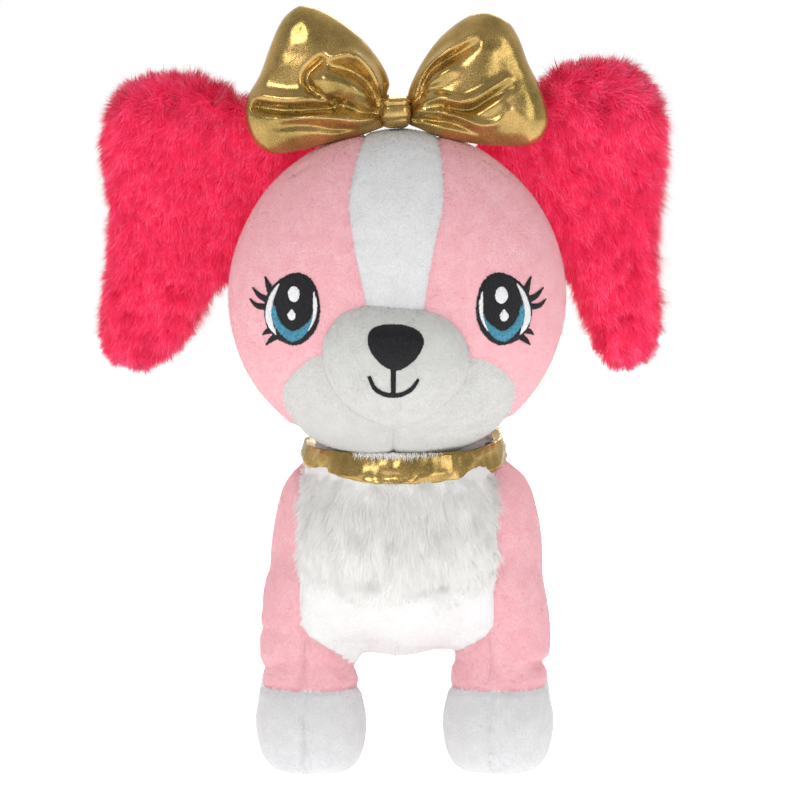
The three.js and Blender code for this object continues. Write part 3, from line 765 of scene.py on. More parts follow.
def thread_material(name, dark, light):
    material = principled(name, linear(dark), roughness=0.55, specular=0.35)
    n = Nodes(material)
    n.set_colour(n.ramp(n.noise(1.2, 3), 0.3, 0.7, linear(dark), linear(light)))
    n.set_relief(n.noise(0.25, 2, (1, 1, 4)), 0.08, 0.5)
    return material


THREADS = [
    thread_material("black_thread", (10, 9, 12), (34, 33, 38)),
    thread_material("white_thread", (225, 226, 228), (248, 248, 248)),
    thread_material("blue_thread", (44, 118, 148), (92, 170, 192)),
]
BLACK_THREAD, WHITE_THREAD, BLUE_THREAD = range(3)

# The eye on the picture's left; the other is its mirror image.
EYE = spline(
    [(-50.8, 265.5), (-45.3, 263.6), (-41.4, 258.3), (-39.6, 251), (-39.4, 244.2), (-41.6, 236.6), (-46.8, 230.8)]
    + [(-52.8, 228.5), (-59.8, 230.6), (-65.6, 235.5), (-68.1, 243.5), (-67.2, 252), (-63.5, 258.8), (-57.5, 263.5)],
    90,
)
OUTER_WHITE = spline(
    [(-59.9, 259.9), (-63.7, 256.2), (-65.9, 251.2), (-67, 246.2), (-66.8, 241.2), (-64.9, 236.7), (-61.6, 233.5)]
    + [(-62.3, 237), (-63.7, 243), (-63.3, 248.9), (-61.9, 254)],
    60,
)
INNER_WHITE = spline(
    [(-42.3, 256.6), (-41, 252.9), (-40.4, 248.9), (-40.9, 243.9), (-42.6, 239.2), (-45.3, 236), (-43.7, 240)]
    + [(-42.6, 245.2), (-42.5, 250.5)],
    60,
)
IRIS = spline(
    [(-63.2, 248.9), (-63.9, 244.5), (-62.7, 239), (-59.3, 234), (-54.2, 230.4), (-49.1, 231.7), (-46.1, 234.8)]
    + [(-43.8, 239.5), (-42.7, 245.2), (-44.2, 242), (-47.5, 238.8), (-52.8, 236), (-57.9, 239), (-60.6, 243.5)]
    + [(-61.9, 248.2)],
    90,
)
LASHES = [
    [(-65, 255.8), (-66.2, 259.5), (-67.8, 263.4)],
    [(-66.6, 251.6), (-70.6, 253.5), (-74.4, 257.6)],
    [(-67.4, 247.8), (-72.2, 248.4), (-75.8, 251.6)],
    [(-64.2, 236), (-67, 235), (-69.3, 233.2)],
    [(-61.8, 233), (-64.6, 231), (-67.6, 227.9)],
]
LASH_WIDTHS = [3.6, 2.6, 0.5]


def drop_shape(centre, half, point=0.0):
    """An ellipse whose top is drawn into a point."""
    a = np.linspace(0, 2 * math.pi, 40, endpoint=False)
    narrow = 1 - point * smoothstep(np.sin(a), 0.0, 1.0)
    return np.column_stack([centre[0] + half[0] * np.cos(a) * narrow, centre[1] + half[1] * np.sin(a)])


BLACK_LEVEL, WHITE_LEVEL, SHINE_LEVEL = 0.9, 1.3, 1.55  # how far each layer of stitches stands off the cloth


def embroider_eye(name, mirror, seed, shine, glint):
    """mirror is 1 for the eye on the picture's left and -1 for the other."""
    work = Stitches(FACE_TREE, seed)
    turn = lambda shape: np.asarray(shape) * [mirror, 1] + ([1.0, 0] if mirror < 0 else [0, 0])
    slant = math.radians(90 - 20 * mirror)
    work.fill(turn(EYE), slant, BLACK_THREAD, BLACK_LEVEL)
    for lash in LASHES:
        work.satin(turn(lash), LASH_WIDTHS, BLACK_THREAD, 0.95)
    work.fill(turn(OUTER_WHITE), math.radians(90 + 12 * mirror), WHITE_THREAD, WHITE_LEVEL, ragged=0.25)
    work.fill(turn(INNER_WHITE), math.radians(90 + 8 * mirror), WHITE_THREAD, WHITE_LEVEL, ragged=0.2)
    work.fill(turn(IRIS), math.radians(90), BLUE_THREAD, WHITE_LEVEL, ragged=0.35)
    work.fill(drop_shape(*shine), math.radians(78), WHITE_THREAD, SHINE_LEVEL, ragged=0.2)
    work.fill(drop_shape(*glint, point=0.6), math.radians(84), WHITE_THREAD, SHINE_LEVEL, ragged=0.2)
    return work.build(name)


eye_right = embroider_eye("embroidered_eye_right", 1, 11, ((-52.3, 254.7), (2.9, 3.9)), ((-53.5, 244.2), (2, 2.8)))
eye_left = embroider_eye("embroidered_eye_left", -1, 12, ((52.9, 254.1), (3.2, 4.2)), ((54.3, 243.9), (2.2, 3.1)))

NOSE = spline(
    [(-14.8, 231.7), (-13.6, 236.5), (-9.4, 239.1), (-2.2, 239.9), (5, 239.1), (10.8, 236.5), (13.3, 232.5)]
    + [(12.7, 228.3), (9.5, 223), (4.5, 218.9), (-0.6, 217), (-7, 219.5), (-12.6, 225.5)],
    90,
)
SMILE = [(-14, 213.8), (-11.4, 208.2), (-7, 205.2), (-2.2, 204.3), (2.4, 204.9), (7.4, 207.8), (10.8, 212.6)]
LIP = [(-1.9, 218), (-1.9, 211), (-1.9, 204.6)]


def nose_dome(seen):
    return 2.6 * smoothstep(inside_distance(NOSE, seen), -0.5, 7)


work = Stitches(MUZZLE_TREE, 13)
work.fill(NOSE, math.radians(90), BLACK_THREAD, BLACK_LEVEL, nose_dome, ragged=0.3)
nose = work.build("embroidered_nose")
work = Stitches(MUZZLE_TREE, 14)
work.satin(LIP, [2.6, 2.6], BLACK_THREAD, BLACK_LEVEL)
work.satin(SMILE, [1.5, 2.1, 2.2, 2.2, 2.2, 2.1, 1.5], BLACK_THREAD, 1.0)
mouth = work.build("embroidered_mouth")


def bare_face(points):
    """Where no embroidered eye covers the pile."""
    seen = seen_from_front(points)
    front = front_of(points)
    keep = np.ones(len(points), bool)
    for mirror in (1, -1):
        near = front & (np.abs(seen[:, 0] + 54 * mirror) < 18) & (np.abs(seen[:, 1] - 247) < 21)
        keep[near] = inside_distance(EYE * [mirror, 1], seen[near]) < -0.3
    return keep


def bare_muzzle(points):
    """Where neither the nose nor the mouth covers the muzzle's pile."""
    seen = seen_from_front(points)
    keep = inside_distance(NOSE, seen) < -0.3
    keep &= line_distance(spline(SMILE, 20, False), seen) > 1.2
    keep &= line_distance(spline(LIP, 6, False), seen) > 1.3
    return keep | (points[:, 1] > MUZZLE_AT[1])


def outside_muzzle(points):
    seen = seen_from_front(points)
    return ~(front_of(points) & (inside_distance(MUZZLE_OUTLINE, seen) > 3))


def add_cloth(name, panel, body, nodes, look, seed, keep=None):
    """A plush cover with its pile, riding on a body in place of the named nodes."""
    material, pile_materials, slot = look
    cloth = cover(name, panel, [material])
    for piece in (cloth, nap(name, panel, pile_materials, seed, keep)):
        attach(piece, body)
    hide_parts(*nodes)


def bare_cheek(points):
    return bare_face(points) & outside_muzzle(points)


for name, panel, node, look, seed, keep in (
    ("blaze_plush", "blaze", "blaze_panel", WHITE_CLOTH, 21, outside_muzzle),
    ("face_plush_left", "face_left", "face_panel_left", PINK_CLOTH, 22, bare_cheek),
    ("face_plush_right", "face_right", "face_panel_right", PINK_CLOTH, 23, bare_cheek),
    ("chin_plush_left", "chin_left", "chin_panel_left", SHADED_WHITE_CLOTH, 24, outside_muzzle),
    ("chin_plush_right", "chin_right", "chin_panel_right", SHADED_WHITE_CLOTH, 25, outside_muzzle),
    ("head_back_plush", "back", "head_back_panel", PINK_CLOTH, 26, None),
):
    add_cloth(name, HEAD_PANELS[panel], "head", [node], look, seed, keep)
add_cloth("muzzle_plush", MUZZLE, "head", ["muzzle_cover", "muzzle_filling"], SHADED_WHITE_CLOTH, 27, bare_muzzle)
for piece, node in ((eye_left, "eye_left"), (eye_right, "eye_right"), (nose, "nose"), (mouth, "mouth")):
    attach(piece, "head")
    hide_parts(node)

# ---------- body and legs: one stuffed skin, then cut along its seams ----------
# Sections are given from the neck axis: position, middle, half sizes. Bodies stack along Y, legs and neck along Z.
TRUNK = [
    (-52, (0, 114), (6, 5)),
    (-49, (0, 114), (26, 22)),
    (-41, (0, 114), (44, 34)),
    (-25, (-0.6, 116), (62, 48)),
    (-5, (-0.6, 117), (70, 56)),
    (20, (-0.6, 116), (70, 56)),
    (50, (0, 113), (67.5, 51)),
    (85, (0, 109), (68, 49)),
    (115, (0, 108), (62, 45)),
    (134, (0, 108), (47.5, 37)),
    (144, (0, 108), (30, 24.5)),
    (148, (0, 108), (8, 6)),
]
SHOULDERS = [
    (84, (0.6, 0), (48, 36)),
    (94, (0.6, 0), (67, 45)),
    (104, (0.6, 0), (71.5, 48)),
    (124, (0.8, -1), (71, 54)),
    (142, (0.8, -1), (67.5, 54)),
    (152, (0.8, -0.5), (64.5, 51)),
    (158.5, (0.6, 0), (60, 48)),
    (164, (0.3, 0), (53, 45.5)),
    (170, (0, 0), (49.2, 43.5)),
    (180, (0, 0), (47.3, 43.5)),
    (185, (0, -0.5), (45.5, 42)),
    (189, (0, -3), (38, 32)),
]
FRONT_LEG = [
    (0.3, (49, -16), (12, 14)),
    (2, (49, -16), (19, 22)),
    (6, (49, -16), (24, 28)),
    (14, (49, -16), (27.5, 32)),
    (26, (49.3, -15), (29, 33)),
    (36, (49.3, -13.5), (28.4, 31)),
    (45, (49.2, -12), (26.5, 28)),
    (54, (50, -11), (25.2, 26)),
    (70, (50.3, -10), (26.3, 27)),
    (90, (49, -10), (25.6, 29)),
    (106, (46.5, -10), (24, 29)),
    (120, (43, -10), (20, 24)),
    (130, (40, -10), (8, 10)),
]
REAR_LEG = [
    (0.3, (53, 91), (11, 13)),
    (2, (53, 91), (18, 21)),
    (6, (53, 91), (22.5, 27)),
    (14, (53, 91), (26, 31)),
    (27, (53, 92), (27.5, 31.5)),
    (40, (53, 94), (25.5, 28)),
    (50, (53, 95), (23.5, 24.5)),
    (68, (53, 96), (25, 26)),
    (84, (52, 96), (25.5, 27)),
    (100, (50, 96), (23, 25)),
    (112, (47, 96), (14, 16)),
    (118, (46, 96), (6, 7)),
]


def mirrored_leg(rings, side):
    return [(z, (x * side, y), half) for z, (x, y), half in rings]


TURN = math.radians(30)
NOD = math.radians(10)


def head_poses():
    """The turns that the head makes, and half of each nod: over the other half the soft chin presses into the neck."""
    for turn in (-TURN, -TURN / 2, 0, TURN / 2, TURN):
        for nod in (-NOD / 2, 0, NOD / 2):
            about_z = np.array([[math.cos(turn), -math.sin(turn), 0], [math.sin(turn), math.cos(turn), 0], [0, 0, 1]])
            about_x = np.array([[1, 0, 0], [0, math.cos(nod), -math.sin(nod)], [0, math.sin(nod), math.cos(nod)]])
            yield about_z @ about_x


def clear_of_head(points, air):
    """Points that the head would sweep through, moved straight down to just below it."""
    out = points.copy()
    radii = HEAD_RADII + air
    for turn in head_poses():
        q = ((out - HEAD_PIVOT) @ turn + HEAD_PIVOT - HEAD_CENTRE) / radii
        d = (DOWN @ turn) / radii
        a, b, c = (d * d).sum(), q @ d, (q * q).sum(axis=1) - 1
        inside = c < 0
        way = (-b + np.sqrt(np.maximum(b * b - a * c, 0))) / a
        out[inside, 2] -= way[inside]
    return out


def body_skin():
    legs = [mirrored_leg(leg, side) for leg in (FRONT_LEG, REAR_LEG) for side in (1, -1)]
    shells = [loft(TRUNK, 48, "y"), loft(SHOULDERS, 48, "z")] + [loft(leg, 40, "z") for leg in legs]
    points, faces = voxel_union(shells, 2.6)
    points = relax(points, faces, 14) + AXIS
    points = clear_of_head(points, 0.0)
    points = relax(points, faces, 2)
    points[:, 2] = np.maximum(points[:, 2], 0)
    return Skin(points, faces)


BIB_HALF = 50.4  # half the white chest panel, about the head's middle plane
BIB_BACK = AXIS[1] + 8
BIB_SIDE = [(14, 50), (30, 64), (46, 74), (BIB_HALF, 80), (BIB_HALF + 0.5, 120), (BIB_HALF, 200)]
BIB = np.array(BIB_SIDE + [(-u, z) for u, z in BIB_SIDE[::-1]], float)
FLAP_LOW, FLAP_HIGH = box_mm("belly_flap")
BELLY_TOP, BELLY_HALF = 76, 44

# Where each leg leaves the body, for the puppy's left side: a point at the crotch, the way out into the leg, and a
# distance along that way.
HIPS = {
    "front": ((20, -10, 62), (0.827, -0.672, -1.0), 13.5),
    "rear": ((27, 96, 60), (0.784, 0.572, -1.0), 11.5),
}


def hip_plane(end, side):
    at, way, reach = HIPS[end]
    mirror = np.array([side, 1, 1])
    return AXIS + np.array(at) * mirror, unit(np.array(way) * mirror), reach


def leg_distance(points, end, side):
    at, way, _ = hip_plane(end, side)
    beyond = (points - at) @ way
    there = (points[:, 0] - AXIS[0]) * side > 4
    there &= (points[:, 1] < AXIS[1] + 44) if end == "front" else (points[:, 1] > AXIS[1] + 52)
    there &= points[:, 2] < 130
    return np.where(there, beyond, np.nan)


def bib_distance(points):
    return distance_where(points[:, 1] < BIB_BACK, BIB, seen_from_front(points))


def flap_distance(points):
    flat = points[:, :2]
    d = np.minimum(flat - FLAP_LOW[:2], FLAP_HIGH[:2] - flat).min(axis=1)
    return np.where(points[:, 2] < 80, d, np.nan)


def belly_distance(points):
    d = np.minimum(BELLY_HALF - np.abs(points[:, 0] - AXIS[0]), BELLY_TOP - points[:, 2])
    return np.where((points[:, 1] > BIB_BACK) & (points[:, 1] < AXIS[1] + 140), d, np.nan)


def body_seams(points):
    """Signed distance to each body seam but the hips', nan where it doesn't run."""
    x, y, z = (points - AXIS).T
    return [
        bib_distance(points),
        np.where((z < 84) & (np.abs(x) < BELLY_HALF), points[:, 1] - BIB_BACK, np.nan),
        belly_distance(points),
        flap_distance(points),
        np.where((y > 8) & (z > BELLY_TOP), x, np.nan),
        np.where(z < 60, z - PAW_SEAM, np.nan),
    ]


LEG_SEAM_IN = 2  # the seam down the front of each leg is this far inside the bib's edge


def body_relief(points):
    x, y, z = (points - AXIS).T
    u = points[:, 0] - HEAD_MIDDLE[0]
    front_seam = np.where((y < -12) & (z < 84), np.abs(u) - BIB_HALF + LEG_SEAM_IN, np.nan)
    swell = groove(body_seams(points) + [front_seam], 1.5, 2.1, 0.9)
    swell += 0.8 * lumps(points, 42, 5)
    ankle = np.exp(-(((z - 57 - 3 * np.sin(x * 0.09)) / 2.6) ** 2)) + 0.7 * np.exp(-(((z - 67 + 0.12 * x) / 2.4) ** 2))
    swell -= 2.7 * ankle * (z < 80) * smoothstep(lumps(points, 30, 8), -0.6, 0.2)
    return np.where(points[:, 2] < 1.5, 0, swell)


def name_body_panel(centres):
    x, y, z = (centres - AXIS).T
    names = np.where(x > 0, "side_left", "side_right").astype(object)
    names[inside(belly_distance(centres))] = "belly"
    names[inside(bib_distance(centres))] = "chest"
    names[inside(flap_distance(centres))] = "flap"
    for end in HIPS:
        for word, side in SIDES.items():
            names[inside(leg_distance(centres, end, side))] = f"{end}_{word}_leg"
            low = (z < PAW_SEAM) & (x * side > 0) & ((y < 40) if end == "front" else (y > 40))
            names[low] = f"{end}_{word}_paw"
    return names


def body_panels():
    skin = body_skin()
    for k in range(6):
        skin.cut(lambda p: body_seams(p)[k])
    for end in HIPS:
        for side in SIDES.values():
            skin.cut(lambda p: leg_distance(p, end, side))
    skin.move(body_relief)
    return skin.panels(name_body_panel)


BODY_PANELS = body_panels()
BELLY_EDGE = 67  # the belly's white cloth reaches down to this height on the legs


def white_corner(centres):
    """On a leg, the white bib and belly run a little way past the hip."""
    z = centres[:, 2]
    bib, belly = inside(bib_distance(centres)), inside(belly_distance(centres))
    return ((bib & (z > PAW_SEAM)) | (belly & (z > BELLY_EDGE))).astype(int)


def low_on_chest(points):
    return points[:, 2] < 104 + 6 * lumps(points, 9, 6)


def add_leg(end, word, seed):
    side = SIDES[word]
    name = f"{end}_{word}"
    at, way, reach = hip_plane(end, side)
    panel = BODY_PANELS[f"{name}_leg"]
    cloth = cover(f"{name}_leg_plush", panel, [PINK, PAINTED_LIT_WHITE], white_corner)
    pile = nap(f"{name}_leg_plush", panel, PINK_PILE + PAINTED_LIT_WHITE_PILE, seed)
    roots = np.array([p.center for p in pile.data.polygons]) / MM
    shade = np.array([p.material_index for p in pile.data.polygons]) % 3
    pile.data.polygons.foreach_set("material_index", (shade + 3 * white_corner(roots)).astype(np.int32))
    for piece in (cloth, pile):
        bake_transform(piece)
    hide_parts(f"{name}_leg_cover", f"{name}_leg_filling")
    paw = BODY_PANELS[f"{name}_paw"]
    add_cloth(f"{name}_paw_plush", paw, f"{name}_leg", [f"{name}_paw_cover"], WHITE_CLOTH, seed + 1)


for k, (end, word) in enumerate((end, word) for end in HIPS for word in SIDES):
    add_leg(end, word, 40 + 2 * k)
add_cloth("side_plush_left", BODY_PANELS["side_left"], "torso", ["side_panel_left"], PINK_CLOTH, 31)
add_cloth("side_plush_right", BODY_PANELS["side_right"], "torso", ["side_panel_right"], PINK_CLOTH, 32)
add_cloth("belly_plush", BODY_PANELS["belly"], "torso", ["belly_panel"], BELLY_CLOTH, 33)
add_cloth("belly_flap_plush", BODY_PANELS["flap"], "belly_flap", ["belly_flap"], BELLY_CLOTH, 34)
add_cloth("chest_plush", BODY_PANELS["chest"], "torso", ["chest_panel"], CHEST_CLOTH, 35, low_on_chest)

# ---------- long fur ----------


def fur(
    name, skin, seed, density, length, flow, materials, width, wild, curl, clump=7.0, keep=None, paler=None, relief=0.8
):
    """Long pile on a skin object, in clumps.

    flow(points, normals) gives the way it lies, length(points) how long it is, and paler(points) how many shades it is
    lighter, as painted light. wild spreads it, curl bends it, and relief is how much the clumps' sides catch the light.
    """
    rng = np.random.default_rng(seed)
    roots, facing = scatter(skin, density * SPARSE, rng, keep)
    part = lambda k: lumps(roots, clump, seed + k) + 0.6 * lumps(roots, clump * 0.45, seed + 9 + k)
    tuft = np.stack([part(k) for k in range(3)], 1)
    aim = unit(flow(roots, facing) + wild * rng.normal(size=roots.shape) * 0.5 + wild * 1.8 * tuft)
    aim = unit(aim + facing * np.maximum(0, 0.12 - (aim * facing).sum(axis=1))[:, None])
    bend = curl * (rng.normal(size=roots.shape) * 0.35 + 1.1 * tuft + [0, 0, -0.35])
    size = length(roots) * rng.uniform(0.7, 1.1, len(roots)) * (1 + 0.25 * tuft[:, 0])
    wide = width * rng.uniform(0.7, 1.2, len(roots))
    # Shades by clump and chance: partly the fur's own uneven tone, partly painted light and shade on the clumps.
    tone_at = 1.3 + 1.6 * tuft[:, 1] + rng.normal(size=len(roots)) * 0.7 + (paler(roots) if paler else 0)
    deep = np.clip(tone_at, 0, len(materials) - 2).astype(int)

    # The tip of each fibre takes the next lighter shade: painted light on the tips.
    def tone(n, segments):
        steps = np.arange(segments)[None] >= segments - 1
        return np.minimum(deep[:, None] + steps, len(materials) - 1).ravel()

    lit = unit(facing + relief * tuft)
    return strands(name, roots - facing * 0.3, lit, aim, size, wide, 3, bend, materials, tone)


def chest_length(points):
    return 3 + 6.5 * smoothstep(points[:, 2], 94, 122) - 2.0 * smoothstep(points[:, 2], 146, 158)


def chest_flow(points, normals):
    u = (points[:, 0] - HEAD_MIDDLE[0])[:, None] / 50
    return normals * 0.45 + DOWN * 0.95 + u * [0.3, 0, 0]


def upper_chest(points):
    seen = seen_from_front(points)
    thin = lumps(points, 0.8, 5) > 0.7 - 1.6 * smoothstep(points[:, 2] + 7 * lumps(points, 11, 6), 86, 106)
    return thin & (points[:, 2] < 160) & (inside_distance(BIB, seen) > 0.5)


# The lower chest fur is painted lighter: painted light from the table below.
def painted_light_from_below(points):
    return 2.8 * smoothstep(-points[:, 2], -144, -108)


points, normals, faces = BODY_PANELS["chest"]
chest_skin = make_object("chest_roots", points, faces, [], None, normals)
chest_fur = fur(
    "chest_fur",
    chest_skin,
    51,
    4.0,
    chest_length,
    chest_flow,
    CHEST_FUR,
    0.36,
    0.2,
    0.25,
    clump=6.5,
    keep=upper_chest,
    paler=painted_light_from_below,
    relief=0.3,
)
bpy.data.objects.remove(chest_skin)
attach(chest_fur, "torso")


def pillow(outline, centre, y_mid, depth, edge, around, rings):
    """A stuffed pad between two faces that share an outline. It rounds off over the width of its edge."""
    a = outline[np.linspace(0, len(outline), around, endpoint=False).astype(int)]
    s = np.sin(np.linspace(0, math.pi / 2, rings + 1))[1:]
    seen = (np.array(centre) + s[:, None, None] * (a - centre)).reshape(-1, 2)
    seen = np.concatenate([[centre], seen])
    d = np.maximum(inside_distance(a, seen), 0)
    half = depth * np.sqrt(np.maximum(1 - (1 - np.minimum(d / edge, 1)) ** 2, 0))
    half[-around:] = 0
    x = seen[:, 0] + HEAD_MIDDLE[0]
    front = np.stack([x, y_mid - half, seen[:, 1]], 1)
    back = np.stack([x, y_mid + half, seen[:, 1]], 1)[:-around]
    n = len(front)
    faces = []
    at = lambda ring, i: 1 + ring * around + i % around
    behind = lambda k: k + n if k < n - around else k
    clockwise = ((a[:, 0] * np.roll(a[:, 1], -1) - np.roll(a[:, 0], -1) * a[:, 1]).sum()) < 0
    for i in range(around):
        ring_faces = [(0, at(0, i), at(0, i + 1))]
        ring_faces += [(at(r, i), at(r + 1, i), at(r + 1, i + 1), at(r, i + 1)) for r in range(rings - 1)]
        for f in ring_faces:
            f = f[::-1] if clockwise else f
            faces.append(f)
            faces.append(tuple(behind(k) for k in reversed(f)))
    return np.concatenate([front, back]), faces


EAR_OUTLINES = {
    "right": [(-40, 331), (-58, 344), (-78, 357), (-92, 365), (-107, 370.5), (-126, 371), (-143, 365.5)]
    + [(-153.5, 354), (-158, 338), (-157.5, 322), (-155, 300), (-155.5, 278), (-156.5, 255), (-158, 235)]
    + [(-156, 221), (-147.5, 214.5), (-136, 212.5)]
    + [(-124, 216.5), (-113, 225.5), (-104, 240), (-95, 252), (-82, 262), (-66, 274), (-52, 298), (-43, 318)],
    "left": [(43, 331), (57, 347), (71, 361), (80, 372), (94, 377.2), (108, 379), (121, 376.5), (131, 369.5)]
    + [(138.8, 359), (143, 348), (144.5, 331), (142.5, 310), (139.5, 284), (138.8, 262), (139.8, 244)]
    + [(138.5, 228), (132.5, 218), (124, 213.2)]
    + [(115.5, 212.5), (108.5, 218), (102, 231), (95, 247), (88, 262), (70, 272), (54, 298), (50, 315)],
}
EAR_CENTRES = {"right": (-112, 300), "left": (104, 305)}
EAR_FUR_REACH = 4.5  # how far the fur stands out past the pad it grows on
EAR_BEND_START, EAR_BEND = 64, 24  # a span on the head's side: where it starts, from the head's middle, and how wide it is


def outside_head(points):
    return (((points - HEAD_CENTRE) / (HEAD_RADII - 4)) ** 2).sum(axis=1) > 1


def ear_flow(side):
    def flow(points, normals):
        away = np.array([side, 0, 0.0])
        top = smoothstep(points[:, 2], 330, 365)[:, None]
        edge = np.clip(1 - np.abs(normals[:, 1:2]), 0, 1)
        return normals * (0.5 + 0.2 * edge) + DOWN * (0.75 - 0.8 * top) + away * 0.25

    return flow


def ear_length(points):
    return 10 - 4.5 * np.clip(1 - np.abs(points[:, 1] - EAR_PLANE) / 7, 0, 1)


for word, side in SIDES.items():
    outline = spline(EAR_OUTLINES[word], 160)
    centre = np.array(EAR_CENTRES[word], float)
    inner = outline - unit(outline - centre) * EAR_FUR_REACH * smoothstep(np.abs(outline[:, :1]), 50, 76)
    points, faces = pillow(inner, centre, EAR_PLANE, 10.5, 13, around=90, rings=22)
    pad = make_object(f"ear_{word}_pad", points, faces, [FUR_BASE])
    start = HEAD_MIDDLE + [EAR_BEND_START * side, 0, 274.4]
    end = start + np.array([EAR_BEND * side, 0, 0])
    seed = 60 + side
    coat = fur(f"ear_{word}_fur", pad, seed, 2.9, ear_length, ear_flow(side), EAR_FUR, 0.4, 0.34, 0.3, 6, outside_head)
    for piece in (pad, coat):
        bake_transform(piece)
    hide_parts(f"ear_{word}")

# ---------- tail ----------

TAIL_ROOT, TAIL_TIP = AXIS + [0, 139, 126], AXIS + [0, 165, 160]
TAIL_WAY = unit(TAIL_TIP - TAIL_ROOT)
TAIL_FUR_LENGTH = 11.0


def tail_shape():
    points, quads = cube_sphere(20)
    along = points @ TAIL_WAY
    radius = 8.5 + 1.5 * along
    middle = (TAIL_ROOT + TAIL_TIP) / 2
    reach = np.linalg.norm(TAIL_TIP - TAIL_ROOT) / 2 + 6
    flat = points - along[:, None] * TAIL_WAY
    spine = np.outer(np.sign(along) * np.abs(along) ** 0.9 * reach, TAIL_WAY)
    curve = np.array([0, -2.5, 0]) * (along**2)[:, None]
    return middle + flat * radius[:, None] + spine + curve, quads


def tail_length(points):
    return np.full(len(points), TAIL_FUR_LENGTH)


def tail_flow(points, normals):
    return normals * 0.55 + TAIL_WAY * 0.7


tail = make_object("tail_pad", *tail_shape(), [FUR_BASE])
tail_fur = fur("tail_fur", tail, 71, 4.5, tail_length, tail_flow, EAR_FUR, 0.6, 0.3, 0.3)
for piece in (tail, tail_fur):
    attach(piece, "tail")
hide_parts("tail")

# ---------- gold lame: bow, knot and collar ----------


def lame(name):
    """Metallic knit: a fine grid of bright and dark threads over bands of warm and olive gold."""
    material = principled(name, linear((172, 135, 76)), roughness=0.34, metallic=0.85)
    n = Nodes(material)
    bands = n.ramp(n.noise(16, 3), 0.3, 0.7, linear((140, 118, 60)), linear((214, 174, 108)))
    specks = n.ramp(n.noise(0.5, 1), 0.35, 0.7, linear((120, 94, 44)), linear((240, 212, 140)))
    n.set_colour(n.mix(0.25, bands, specks))
    n.set_roughness(n.noise(0.6, 1), 0.18, 0.34)
    n.set_relief(n.noise(6, 2), 1.0, 0.2, n.bump(n.noise(0.5, 1), 0.08, 0.4))
    return material


GOLD = lame("gold_lame")


def ridge(seen, path, height, width, fades):
    """A raised fold along a path, negative height for a crease. It may fade towards the path's end."""
    line = spline(path, 30, closed=False)
    gap = line_distance(line, seen)
    start, end = line[0], line[-1]
    run = ((seen - start) @ (end - start)) / ((end - start) @ (end - start))
    fade = 1 - 0.75 * smoothstep(run, 0.55, 1.05) if fades else 1.0
    return height * np.exp(-((gap / width) ** 2)) * fade


def pleats(seen, at, reach, phase):
    """Gathers that fan out from the knot."""
    way = seen - at
    away = np.hypot(*way.T)
    angle = np.arctan2(way[:, 1], np.abs(way[:, 0]))
    return 2.4 * np.sin(13 * angle + phase + 0.06 * away) * np.exp(-away / reach)


# Each loop of the bow as it is seen from the front: its outline, its middle, its folds as (path, height, width, whether
# it fades), where its pleats start, how far they reach and their phase, and the seed of its wrinkles.
LOOPS = {
    "right": (
        [(-7, 357), (-5.5, 366), (-12, 379), (-26, 391), (-38, 399), (-48.7, 402), (-56, 398), (-60.5, 392), (-65, 381)]
        + [(-70, 367), (-77, 354), (-76.5, 341), (-71, 331), (-62, 327.6), (-48, 330), (-30, 334.5), (-14, 338.5)]
        + [(-7, 342)],
        (-40, 358),
        [
            ([(-80, 352.3), (-66, 350.2), (-52, 349), (-33, 350)], -7.5, 2.6, False),
            ([(-76, 357), (-60, 355), (-46, 355), (-36, 357)], 3.0, 3.6, False),
            ([(-12, 344), (-22, 343), (-44, 346.4), (-62, 345)], 3.4, 2.8, True),
            ([(-12, 341), (-30, 339.5), (-48, 341.5), (-64, 340)], -2.6, 2.4, True),
            ([(-7, 356), (-13, 371), (-24, 378), (-37, 376)], 5.0, 2.6, True),
            ([(-10, 353), (-14, 362), (-23, 369), (-36, 372.5)], -5.5, 2.4, True),
            ([(-39, 374.7), (-46.6, 367), (-44.5, 359.7), (-34.8, 354.4), (-22, 349.5), (-12, 347)], -5.0, 2.2, False),
            ([(-18, 358), (-28, 363), (-37, 365)], 4.0, 5.5, False),
        ],
        ((-3.0, 349), 12, 0.0),
        9,
    ),
    "left": (
        [(7, 342), (12, 340), (24, 336), (41, 333), (58, 331.5), (69, 332), (75, 337), (77.2, 346), (73, 360)]
        + [(67, 372), (62.5, 385), (57, 393.5), (47, 398.5), (36, 395.5), (24, 386), (13, 373), (7.5, 361), (6.5, 352)],
        (42, 358),
        [
            ([(9, 357), (14, 371.5), (26, 380), (40, 388)], 4.4, 2.2, True),
            ([(12, 361), (17, 369), (28, 376.5), (41, 383.5)], -5.5, 2.2, True),
            ([(16, 361), (24, 368), (36, 374)], 2.4, 3.6, True),
            ([(8, 348.5), (21, 355.4), (34, 353.3), (44.5, 357.6), (57, 365.5)], 5.2, 2.4, True),
            ([(27, 350), (38, 349.5), (46, 354), (58, 361.5)], -5.0, 2.2, True),
            ([(7, 346.8), (20, 348), (29.5, 346.6), (42.4, 341.5), (52, 342.6), (58, 349)], 3.8, 2.2, True),
            ([(9, 344.5), (20, 344), (31, 342), (42, 337.5)], -4.0, 2.0, True),
            ([(9, 351), (13, 359), (21, 361.5)], -2.8, 1.8, True),
        ],
        ((3.0, 349), 11, 1.0),
        10,
    ),
}


def loop_relief(seen, folds, gathers, seed):
    """How far the front of a loop rises at each point."""
    wrinkle = lumps(np.column_stack([seen, np.zeros(len(seen))]), 13, seed)
    return sum(ridge(seen, *fold) for fold in folds) + pleats(seen, *gathers) + 0.5 * wrinkle


BOW_Y = AXIS[1] - 28
KNOT_AT = HEAD_MIDDLE + [-0.8, -28, 348.7]


INFLATE_FRAMES = 12
INFLATE_CAP = 2.0  # no point moves further than this


